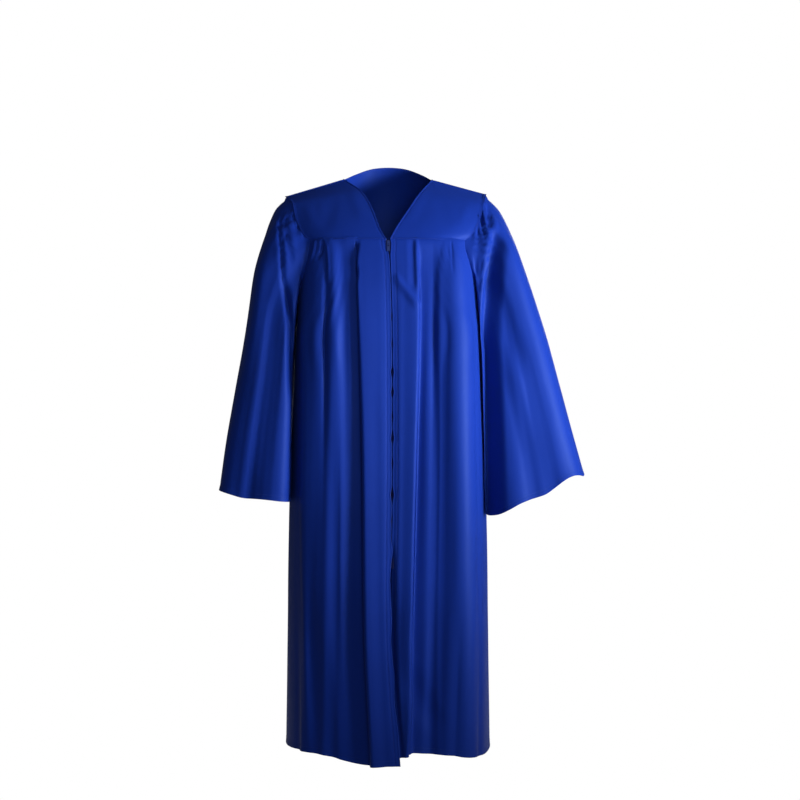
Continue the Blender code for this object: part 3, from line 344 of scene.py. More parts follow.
class GownClothSettings(bpy.types.PropertyGroup):
    thickness: length_setting("Cloth thickness", "Thickness of the satin", 0.0006)
    across: length_setting("Step across", "Mesh step across the folds", 0.0028)
    down: length_setting("Step down", "Mesh step along the folds", 0.0070)
    edge_step: length_setting("Edge step", "Mesh step near seams and hems", 0.0014)
    edge_run: length_setting("Edge run", "Width of the fine mesh at an edge", 0.012)
    ripple: length_setting("Ripple", "Height of the cloth's own soft unevenness", 0.0006)
    dye: colour_setting("Satin colour", "Dyed colour of the satin", (0.0062, 0.0295, 0.290))
    weave_pitch: length_setting("Weave pitch", "Spacing of the satin's diagonal lines", 0.0011)


class GownSewingSettings(bpy.types.PropertyGroup):
    stitch: length_setting("Stitch length", "Length of one stitch", 0.0026)
    pitch: length_setting("Stitch spacing", "From one stitch to the next", 0.0034)
    thread: length_setting("Thread", "Thickness of the sewing thread", 0.0005)
    thread_dye: colour_setting("Thread colour", "Colour of the sewing thread", (0.009, 0.031, 0.300))
    turn_pitch: length_setting("Coil pitch", "From one turn of the zip's coil to the next", 0.0014)


class GownStageSettings(bpy.types.PropertyGroup):
    lens: bpy.props.FloatProperty(
        name="Lens", description="Camera's focal length", default=62.6, unit="CAMERA"
    )
    distance: length_setting("Camera distance", "From the camera to the gown's middle", 3.2)
    surround: power_setting("Surround", "Soft light from all round the studio", 0.070)
    key: power_setting("Key light", "Power of the light beside the left sleeve", 11.5)
    fill: power_setting("Fill light", "Power of the light in front of the gown", 3.6)
    back: power_setting("Back light", "Power of the light behind the gown", 60.0)


# The solids read back as sheets


def path_length(pairs):
    return sum((a.co - b.co).length for a, b in pairs)


def walk_loops(edges):
    """Closed loops of vertices that a set of edges makes up."""
    beside = {}
    for edge in edges:
        for vertex in edge.verts:
            beside.setdefault(vertex, []).append(edge.other_vert(vertex))
    loops, seen = [], set()
    for start in beside:
        if start in seen:
            continue
        loop = [start, beside[start][0]]
        while True:
            following = next(v for v in beside[loop[-1]] if v is not loop[-2])
            if following is start:
                break
            loop.append(following)
        seen.update(loop)
        loops.append(loop)
    return loops


def first_row(work, node):
    """A wall's outer row at its level edge or armhole, the rim's faces, and the inner start."""
    closed = node.startswith("sleeve")
    if closed:
        rim = {f for f in work.faces if min(e.calc_length() for e in f.edges) < RIM_WIDTH}
    else:
        limit = (min if "yoke" in node else max)(v.co.z for v in work.verts)
        rim = {f for f in work.faces if all(abs(v.co.z - limit) < LEVEL for v in f.verts)}
    loops = walk_loops([e for e in work.edges if sum(face in rim for face in e.link_faces) == 1])
    if closed:
        loops.sort(key=lambda loop: sum(v.co.z for v in loop) / len(loop))
        row = max(loops[-2:], key=lambda loop: path_length(zip(loop, loop[1:])))
        lowest = min(range(len(row)), key=lambda k: row[k].co.z)
        return row[lowest:] + row[:lowest + 1], rim, None
    loop = loops[0]
    half = len(loop) // 2
    turns = [loop[k:] + loop[:k] for k in range(len(loop))]
    best = min(turns, key=lambda turn: path_length(zip(turn[:half], turn[:half - 1:-1])))
    forward = (lambda v: -v.co.y) if node.startswith("zip") else (lambda v: v.co.xy.length)
    rows = sorted((best[:half], best[:half - 1:-1]), key=lambda side: sum(forward(v) for v in side))
    if (rows[1][0].co.x > rows[1][-1].co.x) != node.endswith("right"):
        rows = [row[::-1] for row in rows]
    return rows[1], rim, rows[0][0]


def next_row(row, below, used):
    """The row of vertices under a row of a wall, from its first vertex on, with the faces between."""
    found, taken = [below], set()
    for left, right in zip(row[:-1], row[1:]):
        top = next((e for e in left.link_edges if e.other_vert(left) is right), None)
        face = next((f for f in top.link_faces if f not in used and f not in taken), None) if top else None
        if face is None:
            return None, None
        apex = next(v for v in face.verts if v is not left and v is not right)
        taken.add(face)
        pivot = right if apex is found[-1] else left
        diagonal = next(e for e in pivot.link_edges if e.other_vert(pivot) is apex)
        other = next((f for f in diagonal.link_faces if f not in used and f not in taken), None)
        if other is None:
            return None, None
        taken.add(other)
        corner = next(v for v in other.verts if v not in diagonal.verts)
        if pivot is left and corner is not found[-1]:
            return None, None
        found.append(corner if pivot is right else apex)
    return found, taken


def rows_of(node):
    """A wall's outer points as a grid, row by row away from its level edge, or down from an armhole."""
    work = bmesh.new()
    work.from_mesh(bpy.data.objects[node].data)
    bmesh.ops.remove_doubles(work, verts=work.verts, dist=WELD)
    work.normal_update()
    row, used, inner = first_row(work, node)
    closed = row[0] is row[-1]
    count = len(work.verts) // (2 * len(set(row)))
    rows = [row]
    while len(rows) < count:
        top = rows[-1]
        above = rows[-2] if len(rows) > 1 else []
        best = None
        for edge in top[0].link_edges:
            below = edge.other_vert(top[0])
            if below in top or below in above:
                continue
            side, strip = None, set()
            if not closed:
                side, strip = next_row([top[0], inner], below, used)
                if side is None or (side[0].co - side[1].co).length > RIM_WIDTH:
                    continue
            found, taken = next_row(top, below, used | strip)
            if found is None or (closed and found[-1] is not found[0]):
                continue
            reach = path_length(zip(top, found))
            if best is None or reach < best[0]:
                best = (reach, found, taken | strip, side and side[1])
        if best is None:
            raise RuntimeError(f"{node}: no row under row {len(rows)}")
        inner = best[3]
        rows.append(best[1])
        used |= best[2]
    points = np.array([[v.co[:] for v in row] for row in rows])
    normals = np.array([[v.normal[:] for v in row] for row in rows])
    work.free()
    return points, normals


def stations(lengths, step, fine, run):
    """Places along a line of knots, as fractional indexes: finer near both ends and at close knots."""
    total = np.concatenate([[0], np.cumsum(lengths)])
    places, at = [0.0], 0.0
    while at < total[-1]:
        near_end = min(at, total[-1] - at) < run
        knot = lengths[min(np.searchsorted(total, at + LEAST_RUN) - 1, len(lengths) - 1)]
        at += min(fine if near_end else step, max(knot / 2, FINEST_STEP))
        places.append(at)
    places[-1] = total[-1]
    if len(places) > 2 and places[-1] - places[-2] < LAST_STEP_SHARE * fine:
        del places[-2]
    return np.interp(places, total, np.arange(len(total)))


def hermite(start, end, leaving, arriving, t):
    """A smooth curve between two values with a slope at each, read at shares of the way."""
    return (
        start * (1 + 2 * t) * (1 - t) ** 2
        + end * t * t * (3 - 2 * t)
        + leaving * t * (1 - t) ** 2
        - arriving * t * t * (1 - t)
    )


def through(points, places):
    """Smooth curves down the first axis of a grid, read at fractional indexes."""
    runs = np.linalg.norm(np.diff(points, axis=0), axis=-1)
    before, after = runs[:-1, :, None], runs[1:, :, None]
    steps = np.diff(points, axis=0) / runs[..., None]
    inner = (steps[:-1] * after + steps[1:] * before) / (before + after)
    slopes = np.concatenate([steps[:1], inner, steps[-1:]])
    i = np.clip(places.astype(int), 0, len(points) - 2)
    t = (places - i)[:, None, None]
    run = runs[i][..., None]
    return hermite(points[i], points[i + 1], slopes[i] * run, slopes[i + 1] * run, t)


def smooth(values, places):
    """A smooth curve through evenly spaced values, read at fractional indexes."""
    values = np.asarray(values, float)
    slopes = np.gradient(values)
    i = np.clip(places.astype(int), 0, len(values) - 2)
    return hermite(values[i], values[i + 1], slopes[i], slopes[i + 1], places - i)


def unit(vectors):
    return vectors / np.maximum(np.linalg.norm(vectors, axis=-1, keepdims=True), LEAST_LENGTH)


def ease(value):
    value = np.clip(value, 0, 1)
    return value * value * (3 - 2 * value)


class Sheet:
    """A sheet of cloth as a fine grid: rows lead away from its seam, columns run along it."""

    def __init__(self, node, settings):
        coarse, facing = rows_of(node)
        self.node = node
        self.closed = node.startswith("sleeve")
        down = np.linalg.norm(np.diff(coarse, axis=0), axis=-1).mean(axis=1)
        across = np.linalg.norm(np.diff(coarse, axis=1), axis=-1).mean(axis=0)
        rows = stations(down, settings.down, settings.edge_step, settings.edge_run)
        run = 0.0 if self.closed else settings.edge_run
        columns = stations(across, settings.across, settings.edge_step, run)
        fine = through(coarse, rows)
        self.points = through(fine.swapaxes(0, 1), columns).swapaxes(0, 1)
        near = facing[rows.round().astype(int)][:, columns.round().astype(int)]
        self.turn = np.sign(np.sum(self.raw_normals() * near))
        self.measure()

    def raw_normals(self):
        points = self.points
        if self.closed:
            wide = np.concatenate([points[:, -2:-1], points, points[:, 1:2]], axis=1)
            across = unit(wide[:, 2:] - wide[:, 1:-1]) + unit(wide[:, 1:-1] - wide[:, :-2])
        else:
            across = np.gradient(points, axis=1)
        return unit(np.cross(across, np.gradient(points, axis=0)))

    def measure(self):
        """Normals, and the distance of each point along the sheet from its four edges."""
        self.normals = self.raw_normals() * self.turn
        down = np.linalg.norm(np.diff(self.points, axis=0), axis=-1)
        across = np.linalg.norm(np.diff(self.points, axis=1), axis=-1)
        self.from_top = np.concatenate([np.zeros((1, down.shape[1])), np.cumsum(down, axis=0)])
        self.from_start = np.concatenate([np.zeros((across.shape[0], 1)), np.cumsum(across, axis=1)], axis=1)
        self.from_bottom = self.from_top[-1:] - self.from_top
        self.from_end = self.from_start[:, -1:] - self.from_start

    def distance(self, edge):
        return getattr(self, "from_" + edge)

    def move(self, rise):
        self.points = self.points + self.normals * rise[..., None]
        self.measure()

    def shape_edge(self, edge, lap, lift, run, share=1.0):
        """Laps an edge over what it meets, and lifts or sinks it there."""
        near = (1 - ease(self.distance(edge) / run)) * share
        grid = self.points
        axis = 0 if edge in ("top", "bottom") else 1
        outer, inner = (0, EDGE_STEPS) if edge in ("top", "start") else (-1, -1 - EDGE_STEPS)
        way = grid.take([outer], axis) - grid.take([inner], axis)
        self.points = grid + unit(way) * (lap * near)[..., None] + self.normals * (lift * near)[..., None]
        self.measure()

    def shape_edges(self, **shapes):
        for edge, shape in shapes.items():
            self.shape_edge(edge, *shape)

    def area(self):
        a, b = self.points[1:, 1:] - self.points[:-1, :-1], self.points[1:, :-1] - self.points[:-1, 1:]
        return float(np.linalg.norm(np.cross(a, b), axis=-1).sum() / 2)

    def inset_line(self, edge, distance):
        """Points and normals along a line at one distance in from an edge."""
        grid, facing, gone = self.points, self.normals, self.distance(edge)
        if edge in ("start", "end"):
            grid, facing, gone = grid.swapaxes(0, 1), facing.swapaxes(0, 1), gone.T
        if edge in ("bottom", "end"):
            grid, facing, gone = grid[::-1], facing[::-1], gone[::-1]
        columns = np.arange(grid.shape[1])
        below = np.clip((gone < distance).sum(axis=0), 1, len(grid) - 1)
        low, high = gone[below - 1, columns], gone[below, columns]
        share = ((distance - low) / np.maximum(high - low, LEAST_RUN)).clip(0, 1)[:, None]
        points = grid[below - 1, columns] * (1 - share) + grid[below, columns] * share
        return points, unit(facing[below - 1, columns] * (1 - share) + facing[below, columns] * share)


# Creases


def crease(sheet, row):
    """The height that one crease adds at each point of a sheet, as seen from the front."""
    places, right, left, rise, fade = row
    spots = np.linspace(0, len(places) - 1, CREASE_STEPS * len(places))
    line = through(np.array(places)[:, None, :], spots)[:, 0]
    starts, ends = line[:-1], line[1:]
    runs = np.linalg.norm(ends - starts, axis=1)
    gone = np.concatenate([[0], np.cumsum(runs)])
    here = sheet.points[..., ::2]
    nearest = np.full(here.shape[:-1], np.inf)
    side, along = np.zeros_like(nearest), np.zeros_like(nearest)
    for k in range(len(starts)):
        step = (ends[k] - starts[k]) / runs[k]
        offset = here - starts[k]
        free = offset @ step
        held = np.clip(free, 0, runs[k])
        gap = np.hypot(*(np.moveaxis(offset - held[..., None] * step, -1, 0)))
        nearer = gap < nearest
        nearest = np.where(nearer, gap, nearest)
        side = np.where(nearer, offset[..., 0], side)
        along = np.where(nearer, gone[k] + held, along)
    reach = np.where(side < 0, right, left)
    tail = ease(along / fade) * ease((gone[-1] - along) / fade)
    bump = np.cos(np.clip(nearest / reach, 0, 1) * np.pi / 2) ** 2
    return rise * bump * tail


def seen_from(lean, start, run):
    """How far a fold shows where the cloth leans to or from the side that the fold is on."""
    return ease((lean + start) / run)


def lay_creases(sheet, rows, facing=-1):
    """Lays creases on the part of a sheet that faces the front (-1) or the back (1)."""
    seen = seen_from(sheet.normals[..., 1] * facing, *CREASE_SEEN)
    total = np.zeros(seen.shape)
    for row in rows:
        total += crease(sheet, row)
    sheet.move(total * seen)


def sink_hollows(sheet, rows):
    """Sinks deep soft hollows straight back into the front of a sheet."""
    seen = seen_from(-sheet.normals[..., 1], *HOLLOW_SEEN)
    for row in rows:
        sheet.points[..., 1] += crease(sheet, row) * seen
    sheet.measure()


def lay_folds(sheet, rows, facing=-1):
    """Lays long folds between lines that run down a sheet, where it faces the front (-1) or back (1)."""
    across, height = sheet.points[..., 0], sheet.points[..., 2]
    heights = np.array(FOLD_HEIGHTS[::-1])
    spots = np.arange(len(heights), dtype=float)
    at = np.interp(height, heights, spots)
    lines = [smooth(places[::-1], at) for places, _ in rows]
    rises = [smooth(rise[::-1], at) for _, rise in rows]
    if lines[0].mean() > lines[-1].mean():
        lines, rises = lines[::-1], rises[::-1]
    total = np.where(across < lines[0], rises[0], rises[-1])
    for k in range(len(lines) - 1):
        share = (across - lines[k]) / np.maximum(lines[k + 1] - lines[k], LEAST_SPACING)
        inside = (share >= 0) & (share < 1)
        total = np.where(inside, rises[k] + (rises[k + 1] - rises[k]) * ease(share), total)
    seen = seen_from(sheet.normals[..., 1] * facing, *FOLD_SEEN)
    sheet.move(total * seen)


def even_down(sheet, reach):
    """Evens out the solid's facets along the folds, away from a sheet's seam and hem."""
    points = sheet.points
    half = int(reach / bpy.context.scene.gown_cloth.down)
    kernel = np.hanning(2 * half + 3)[1:-1]
    padded = np.pad(points, ((half, half), (0, 0), (0, 0)), mode="reflect", reflect_type="odd")
    evened = sum(w * padded[k:k + len(points)] for k, w in enumerate(kernel)) / kernel.sum()
    away = ease(np.minimum(sheet.from_top, sheet.from_bottom) / (2 * reach))
    moved = (evened - points) * away[..., None]
    moved[..., 2] = 0
    sheet.points = points + moved
    sheet.measure()


def lay_puckers(sheet, size):
    """Gathers fanning down from a sleeve's armhole seam, from the underarm round by the back."""
    share = sheet.from_start / sheet.from_start[:, -1:]
    if sheet.points[0, sheet.points.shape[1] // 4, 1] < 0:
        share = 1 - share
    around = sheet.from_start[0, -1]
    total = np.zeros(share.shape)
    for place, width, rise, length in PUCKERS:
        side = np.clip(np.abs(share - place) * around / width, 0, 1)
        total += size * rise * np.cos(side * np.pi / 2) ** 2 * (1 - ease(sheet.from_top / length))
    sheet.move(total * ease(sheet.from_top / PUCKER_START))


def even_gathers(sheet):
    """Smooths the solid's plain gathers off a sleeve's head, so that finer ones can be laid there."""
    points = sheet.points[:, :-1]
    width = GATHERED_LENGTH / 2
    steps = np.linalg.norm(np.diff(sheet.points, axis=1), axis=-1).mean()
    half = int(width / 2 / steps)
    kernel = np.hanning(2 * half + 3)[1:-1]
    smoothed = sum(w * np.roll(points, k - half, axis=1) for k, w in enumerate(kernel)) / kernel.sum()
    far = ease((sheet.from_top - 0.5 * GATHERED_LENGTH) / GATHERED_LENGTH)
    near = ease(sheet.from_top / GATHERS_START) * (1 - far)
    moved = points + (smoothed - points) * near[:, :-1, None]
    sheet.points = np.concatenate([moved, moved[:, :1]], axis=1)
    sheet.measure()


def draw_back(sheet, sign):
    """Draws a sleeve's front away from the body, where it would lie too far over it."""
    across, inward, height = np.moveaxis(sheet.points, -1, 0)
    heights, moves = np.array(DRAWN_BACK[::-1]).T
    away = np.interp(height, heights, moves) * ease((DRAWN_FROM - np.abs(across)) / DRAWN_OVER)
    sheet.points[..., 0] += sign * away * ease((DRAWN_FRONT - inward) / DRAWN_FRONT_RUN)
    sheet.measure()


def open_zip_edge(sheet, rows, sign):
    """Draws a front's zip edge back a little at uneven places."""
    height = sheet.points[..., 2]
    near = 1 - ease(sheet.from_start / ZIP_EDGE_RUN)
    for place, reach, back in rows:
        off = np.clip((height - place) / reach, -1, 1)
        sheet.points[..., 0] += sign * back * np.cos(off * np.pi / 2) ** 2 * near
    sheet.measure()


def sewing_lines():
    """The lines of stitches on each piece, with both pieces of a pair."""
    by_piece = {}
    for name, *line in SEWING_LINES:
        for piece in (name,) if name in SINGLE_PIECES else [f"{name}_{side}" for side in SIDES]:
            by_piece.setdefault(piece, []).append(line)
    return by_piece


def sew_down(sheet):
    """Pulls a sheet in a little along each of its lines of stitches."""
    for edge, inset, _, _ in sewing_lines()[sheet.node]:
        off = np.clip(np.abs(sheet.distance(edge) - inset) / STITCH_REACH, 0, 1)
        sheet.move(-STITCH_DIP * np.cos(off * np.pi / 2) ** 2)


def add_ripple(sheet):
    """The cloth's own unevenness: long soft swells that run with the folds."""
    share, seed = RIPPLES[sheet.node]
    swell = []
    for x, y, z in sheet.points.reshape(-1, 3):
        broad = noise.noise((x * SWELLS_ACROSS + seed, y * SWELLS_ACROSS, z * SWELLS_DOWN))
        fine = noise.noise((x * FINE_SWELLS_ACROSS, y * FINE_SWELLS_ACROSS + seed, z * FINE_SWELLS_DOWN))
        swell.append(broad + FINE_SWELL_SHARE * fine)
    calm = ease(np.minimum(sheet.from_top, sheet.from_bottom) / CALM_EDGE)
    if not sheet.closed:
        calm = calm * ease(np.minimum(sheet.from_start, sheet.from_end) / CALM_EDGE)
    height = bpy.context.scene.gown_cloth.ripple * share
    sheet.move(np.array(swell).reshape(calm.shape) * height * calm)


# Meshes


def finish_object(name, work, material):
    mesh = bpy.data.meshes.new(name)
    work.to_mesh(mesh)
    work.free()
    mesh.materials.append(material)
    mesh.shade_smooth()
    piece = bpy.data.objects.new(name, mesh)
    bpy.context.scene.collection.objects.link(piece)
    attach(piece, BODY)
    return piece


def make_sheet(name, sheet, material, thickness):
    """A sheet's mesh: a grid laid on the sheet's points, with a cloth map in metres and a wall."""
    rows, columns = sheet.points.shape[:2]
    work = bmesh.new()
    bmesh.ops.create_grid(work, x_segments=columns - 1, y_segments=rows - 1, size=1.0)
    work.verts.ensure_lookup_table()
    flat = sheet.points.reshape(-1, 3)
    for vertex, place in zip(work.verts, flat):
        vertex.co = place
    layer = work.loops.layers.uv.new("cloth")
    u, v = sheet.from_start.ravel(), sheet.from_top.ravel()
    for face in work.faces:
        for loop in face.loops:
            loop[layer].uv = (u[loop.vert.index], v[loop.vert.index])
    if sheet.turn < 0:
        bmesh.ops.reverse_faces(work, faces=work.faces)
    if sheet.closed:
        bmesh.ops.remove_doubles(work, verts=work.verts, dist=WELD)
    piece = finish_object(name, work, material)
    wall = piece.modifiers.new("Cloth", "SOLIDIFY")
    wall.thickness = thickness
    wall.offset = -1.0
    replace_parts(piece, sheet.node)
    return piece


def opaque(colour):
    return (*colour, 1.0)


def set_inputs(tree, node, **inputs):
    """Sets a node's inputs to values, or links them to other nodes' outputs."""
    for name, value in inputs.items():
        socket = node.inputs[name.replace("_", " ")]
        if isinstance(value, bpy.types.NodeSocket):
            tree.links.new(value, socket)
        else:
            socket.default_value = value
    return node


def add_node(tree, kind, **inputs):
    return set_inputs(tree, tree.nodes.new(kind), **inputs)


def mix_colours(tree, share, low, high, blend="MIX"):
    mix = tree.nodes.new("ShaderNodeMix")
    mix.data_type = "RGBA"
    mix.blend_type = blend
    return set_inputs(tree, mix, Factor=share, A=low, B=high).outputs["Result"]


def new_material(name, colour, roughness):
    material = bpy.data.materials.new(name)
    material.use_nodes = True
    tree = material.node_tree
    shader = tree.nodes["Principled BSDF"]
    set_inputs(tree, shader, Base_Color=opaque(colour), Roughness=roughness)
    return material, tree, shader


def satin_material(name, settings):
    """Dyed polyester satin: a fine diagonal weave, slightly uneven dye and a soft sheen."""
    colour = np.array(settings.dye[:])
    material, tree, shader = new_material(name, colour, roughness=0.55)
    set_inputs(tree, shader, Sheen_Weight=0.05, Sheen_Roughness=0.50, Sheen_Tint=(0.15, 0.35, 1.0, 1.0))
    set_inputs(tree, shader, Specular_IOR_Level=0.22, Specular_Tint=(0.30, 0.50, 1.0, 1.0))
    cloth = add_node(tree, "ShaderNodeUVMap")
    cloth.uv_map = "cloth"
    cloth_map = cloth.outputs["UV"]
    turned = add_node(tree, "ShaderNodeMapping", Vector=cloth_map, Rotation=(0, 0, TWILL_LEAN))
    twill = add_node(
        tree, "ShaderNodeTexWave", Vector=turned.outputs["Vector"],
        Scale=1 / (settings.weave_pitch * math.pi), Distortion=0.6, Detail_Scale=3.0,
    )
    stretched = add_node(tree, "ShaderNodeMapping", Vector=cloth_map, Scale=SLUB_STRETCH)
    slub = add_node(tree, "ShaderNodeTexNoise", Vector=stretched.outputs["Vector"], Scale=260.0, Detail=3.0)
    place = add_node(tree, "ShaderNodeTexCoord").outputs["Object"]
    dye = add_node(tree, "ShaderNodeTexNoise", Vector=place, Scale=5.0, Detail=4.0)
    dyed = mix_colours(tree, dye.outputs["Fac"], *[opaque(colour * share) for share in SATIN_DYES])
    woven = mix_colours(tree, TWILL_SHARE, dyed, twill.outputs["Color"], "MULTIPLY")
    polish = add_node(tree, "ShaderNodeMapRange", Value=slub.outputs["Fac"], To_Min=0.48, To_Max=0.60)
    grain = add_node(tree, "ShaderNodeBump", Height=twill.outputs["Fac"], Strength=0.12, Distance=0.0004)
    uneven = add_node(
        tree, "ShaderNodeBump", Height=slub.outputs["Fac"], Normal=grain.outputs["Normal"],
        Strength=0.10, Distance=0.0008,
    )
    set_inputs(
        tree, shader, Base_Color=woven, Roughness=polish.outputs["Result"], Normal=uneven.outputs["Normal"]
    )
    return material


def thread_material(name, colour, pitch):
    """Spun thread or woven tape: fine ribs across it."""
    colour = np.array(colour)
    material, tree, shader = new_material(name, colour, roughness=0.62)
    place = add_node(tree, "ShaderNodeTexCoord").outputs["Object"]
    ribs = add_node(tree, "ShaderNodeTexNoise", Vector=place, Scale=1 / pitch, Detail=2.0).outputs["Fac"]
    bump = add_node(tree, "ShaderNodeBump", Height=ribs, Strength=0.4, Distance=0.0002)
    dyed = mix_colours(tree, ribs, *[opaque(colour * share) for share in THREAD_DYES])
    set_inputs(tree, shader, Base_Color=dyed, Normal=bump.outputs["Normal"])
    return material


def lacquer_material(name, colour):
    """Blue lacquer on cast zinc, worn a little brighter in places."""
    colour = np.array(colour)
    material, tree, shader = new_material(name, colour, roughness=0.3)
    place = add_node(tree, "ShaderNodeTexCoord").outputs["Object"]
    wear = add_node(tree, "ShaderNodeTexNoise", Vector=place, Scale=900.0, Detail=4.0).outputs["Fac"]
    worn = mix_colours(tree, wear, opaque(colour), opaque(colour * WORN_SHARE + WORN_RISE))
    rough = add_node(tree, "ShaderNodeMapRange", Value=wear, To_Min=0.22, To_Max=0.44)
    set_inputs(tree, shader, Metallic=0.85, Base_Color=worn, Roughness=rough.outputs["Result"])
    return material


def satin():
    found = bpy.data.materials.get("royal_blue_satin")
    return found or satin_material("royal_blue_satin", bpy.context.scene.gown_cloth)


def thread():
    dyed = bpy.context.scene.gown_sewing.thread_dye[:]
    return bpy.data.materials.get("sewing_thread") or thread_material("sewing_thread", dyed, THREAD_RIB)


# Pieces


SHEETS = {}


def sheet_for(node):
    if node not in SHEETS:
        SHEETS[node] = Sheet(node, bpy.context.scene.gown_cloth)
    return SHEETS[node]


def lay_sheet(node):
    sheet = SHEETS[node]
    piece = make_sheet(node + "_cloth", sheet, satin(), bpy.context.scene.gown_cloth.thickness)
    width = float(sheet.from_start[:, -1].max())
    length = float(sheet.from_top[-1].max())
    area = min(sheet.area(), width * length)


def line_frames(points, normals, pitch):
    """Evenly spaced places on a line, each with its direction and the surface's normal."""
    runs = np.concatenate([[0], np.cumsum(np.linalg.norm(np.diff(points, axis=0), axis=1))])
    count = max(int(runs[-1] / pitch), 1)
    at = (np.arange(count) + 0.5) * runs[-1] / count

    def read(values, where):
        return np.stack([np.interp(where, runs, values[:, k]) for k in range(3)], axis=1)

    along = unit(read(points, at + pitch / 2) - read(points, at - pitch / 2))
    normal = unit(read(normals, at))
    normal = unit(normal - along * np.sum(normal * along, axis=1, keepdims=True))
    return read(points, at), along, normal


def add_bead(work, place, along, normal, size):
    """A small rounded bead, long, wide and high, with its length along a line."""
    side = np.cross(normal, along)
    turn = Matrix((along * size[0] / 2, side * size[1] / 2, normal * size[2] / 2)).transposed().to_4x4()
    bmesh.ops.create_icosphere(work, subdivisions=1, radius=1.0, matrix=Matrix.Translation(place) @ turn)


# Operators


class GOWN_OT_yokes(bpy.types.Operator):
    """Lay the two front yokes and the back yoke over the shoulders"""

    bl_idname = "gown.yokes"
    bl_label = "Yokes"

    def execute(self, context):
        for side in SIDES:
            node = "front_yoke_" + side
            sheet = sheet_for(node)
            lay_creases(sheet, YOKE_CREASES[side])
            add_ripple(sheet)
            sheet.shape_edges(start=NECK_ROLL, bottom=OVER_SEAM, top=YOKE_LAP, end=YOKE_LAP)
            sew_down(sheet)
            lay_sheet(node)
        sheet = sheet_for("back_yoke")
        add_ripple(sheet)
        neck_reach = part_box("front_yoke_left")[1][0] * NECK_SHARE
        neck = ease((neck_reach - np.abs(sheet.points[..., 0])) / NECK_FADE)
        sheet.shape_edge("bottom", *UNDER_SEAM, share=1 - neck)
        sheet.shape_edge("bottom", *NECK_ROLL, share=neck)
        sheet.shape_edges(top=YOKE_LAP, start=YOKE_LAP, end=YOKE_LAP)
        sew_down(sheet)
        lay_sheet("back_yoke")
        return {"FINISHED"}


class GOWN_OT_fronts(bpy.types.Operator):
    """Lay the two pleated fronts with their folds, creases and zip edges"""

    bl_idname = "gown.fronts"
    bl_label = "Fronts"

    def execute(self, context):
        for side in SIDES:
            node = "front_" + side
            sheet = sheet_for(node)
            even_down(sheet, EVENED_LENGTH)
            lay_folds(sheet, FRONT_FOLDS[side])
            lay_creases(sheet, FRONT_CREASES[side])
            add_ripple(sheet)
            sheet.shape_edge("top", *TUCKED_SEAM, share=ease(sheet.from_start / TUCK_START))
            sheet.shape_edges(end=OVER_SEAM, start=ZIP_EDGE_TURN, bottom=TURNED_HEM)
            sew_down(sheet)
            open_zip_edge(sheet, ZIP_EDGE_GAPS, SIDES[side])
            if side == "right":
                open_zip_edge(sheet, LAP_EDGE_WAVES, 1.0)
            lay_sheet(node)
        return {"FINISHED"}


class GOWN_OT_back(bpy.types.Operator):
    """Lay the pleated back"""

    bl_idname = "gown.back"
    bl_label = "Back"

    def execute(self, context):
        sheet = sheet_for("back")
        even_down(sheet, EVENED_LENGTH)
        lay_folds(sheet, BACK_FOLDS, facing=1)
        add_ripple(sheet)
        sheet.shape_edges(top=TUCKED_SEAM, start=UNDER_SEAM, end=UNDER_SEAM, bottom=TURNED_HEM)
        sew_down(sheet)
        lay_sheet("back")
        return {"FINISHED"}


class GOWN_OT_sleeves(bpy.types.Operator):
    """Lay the two bell sleeves with their gathered heads"""

    bl_idname = "gown.sleeves"
    bl_label = "Sleeves"

    def execute(self, context):
        for side, sign in SIDES.items():
            node = "sleeve_" + side
            sheet = sheet_for(node)
            even_gathers(sheet)
            even_down(sheet, EVENED_LENGTH)
            draw_back(sheet, sign)
            for facing in (-1, 1):
                lay_folds(sheet, SLEEVE_FOLDS[side], facing)
                lay_creases(sheet, SLEEVE_CREASES[side], facing)
            sink_hollows(sheet, SLEEVE_HOLLOWS[side])
            lay_puckers(sheet, PUCKER_SHARE[side])
            add_ripple(sheet)
            sheet.shape_edges(top=TUCKED_SEAM, bottom=TURNED_HEM)
            sew_down(sheet)
            lay_sheet(node)
        return {"FINISHED"}


class GOWN_OT_zip(bpy.types.Operator):
    """Make the zip: two woven tapes, the coil's turns, and the lacquered slider and pull"""

    bl_idname = "gown.zip"
    bl_label = "Zip"

    def execute(self, context):
        settings = context.scene.gown_sewing
        dye = np.array(settings.thread_dye[:])
        # The tape and the coil are the thread's blue darkened as painted shade, for the dark gaps along the
        # zip
        tape = thread_material("zip_tape_weave", TAPE_SHADE_SHARE * dye, TAPE_RIB)
        for side in SIDES:
            node = "zip_tape_" + side
            make_sheet(node + "_woven", sheet_for(node), tape, TAPE_THICKNESS)
        points, normals = rows_of("zip_chain")
        pitch = settings.turn_pitch
        turn = (COIL_WIDTH * TURN_WIDTH_SHARE, pitch * TURN_LENGTH_SHARE, COIL_HEIGHT)
        work = bmesh.new()
        frames = line_frames(points.mean(axis=1), unit(normals.mean(axis=1)), pitch)
        for place, along, normal in zip(*frames):
            across = np.cross(normal, along)
            for sign in (-1, 1):
                row = place + across * sign * COIL_WIDTH * COIL_ROW_SHARE
                spot = row + along * pitch * sign / 4 - normal * COIL_HEIGHT / 2
                add_bead(work, spot, across, normal, turn)
        nylon = thread_material("zip_coil_nylon", COIL_SHADE_SHARE * dye, COIL_RIB)
        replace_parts(finish_object("zip_coil", work, nylon), "zip_chain")
        lacquer = lacquer_material("zip_blue_lacquer", LACQUER_COLOUR)
        for node in ("zip_slider", "zip_pull"):
            bpy.data.objects[node].material_slots[0].material = lacquer
        return {"FINISHED"}


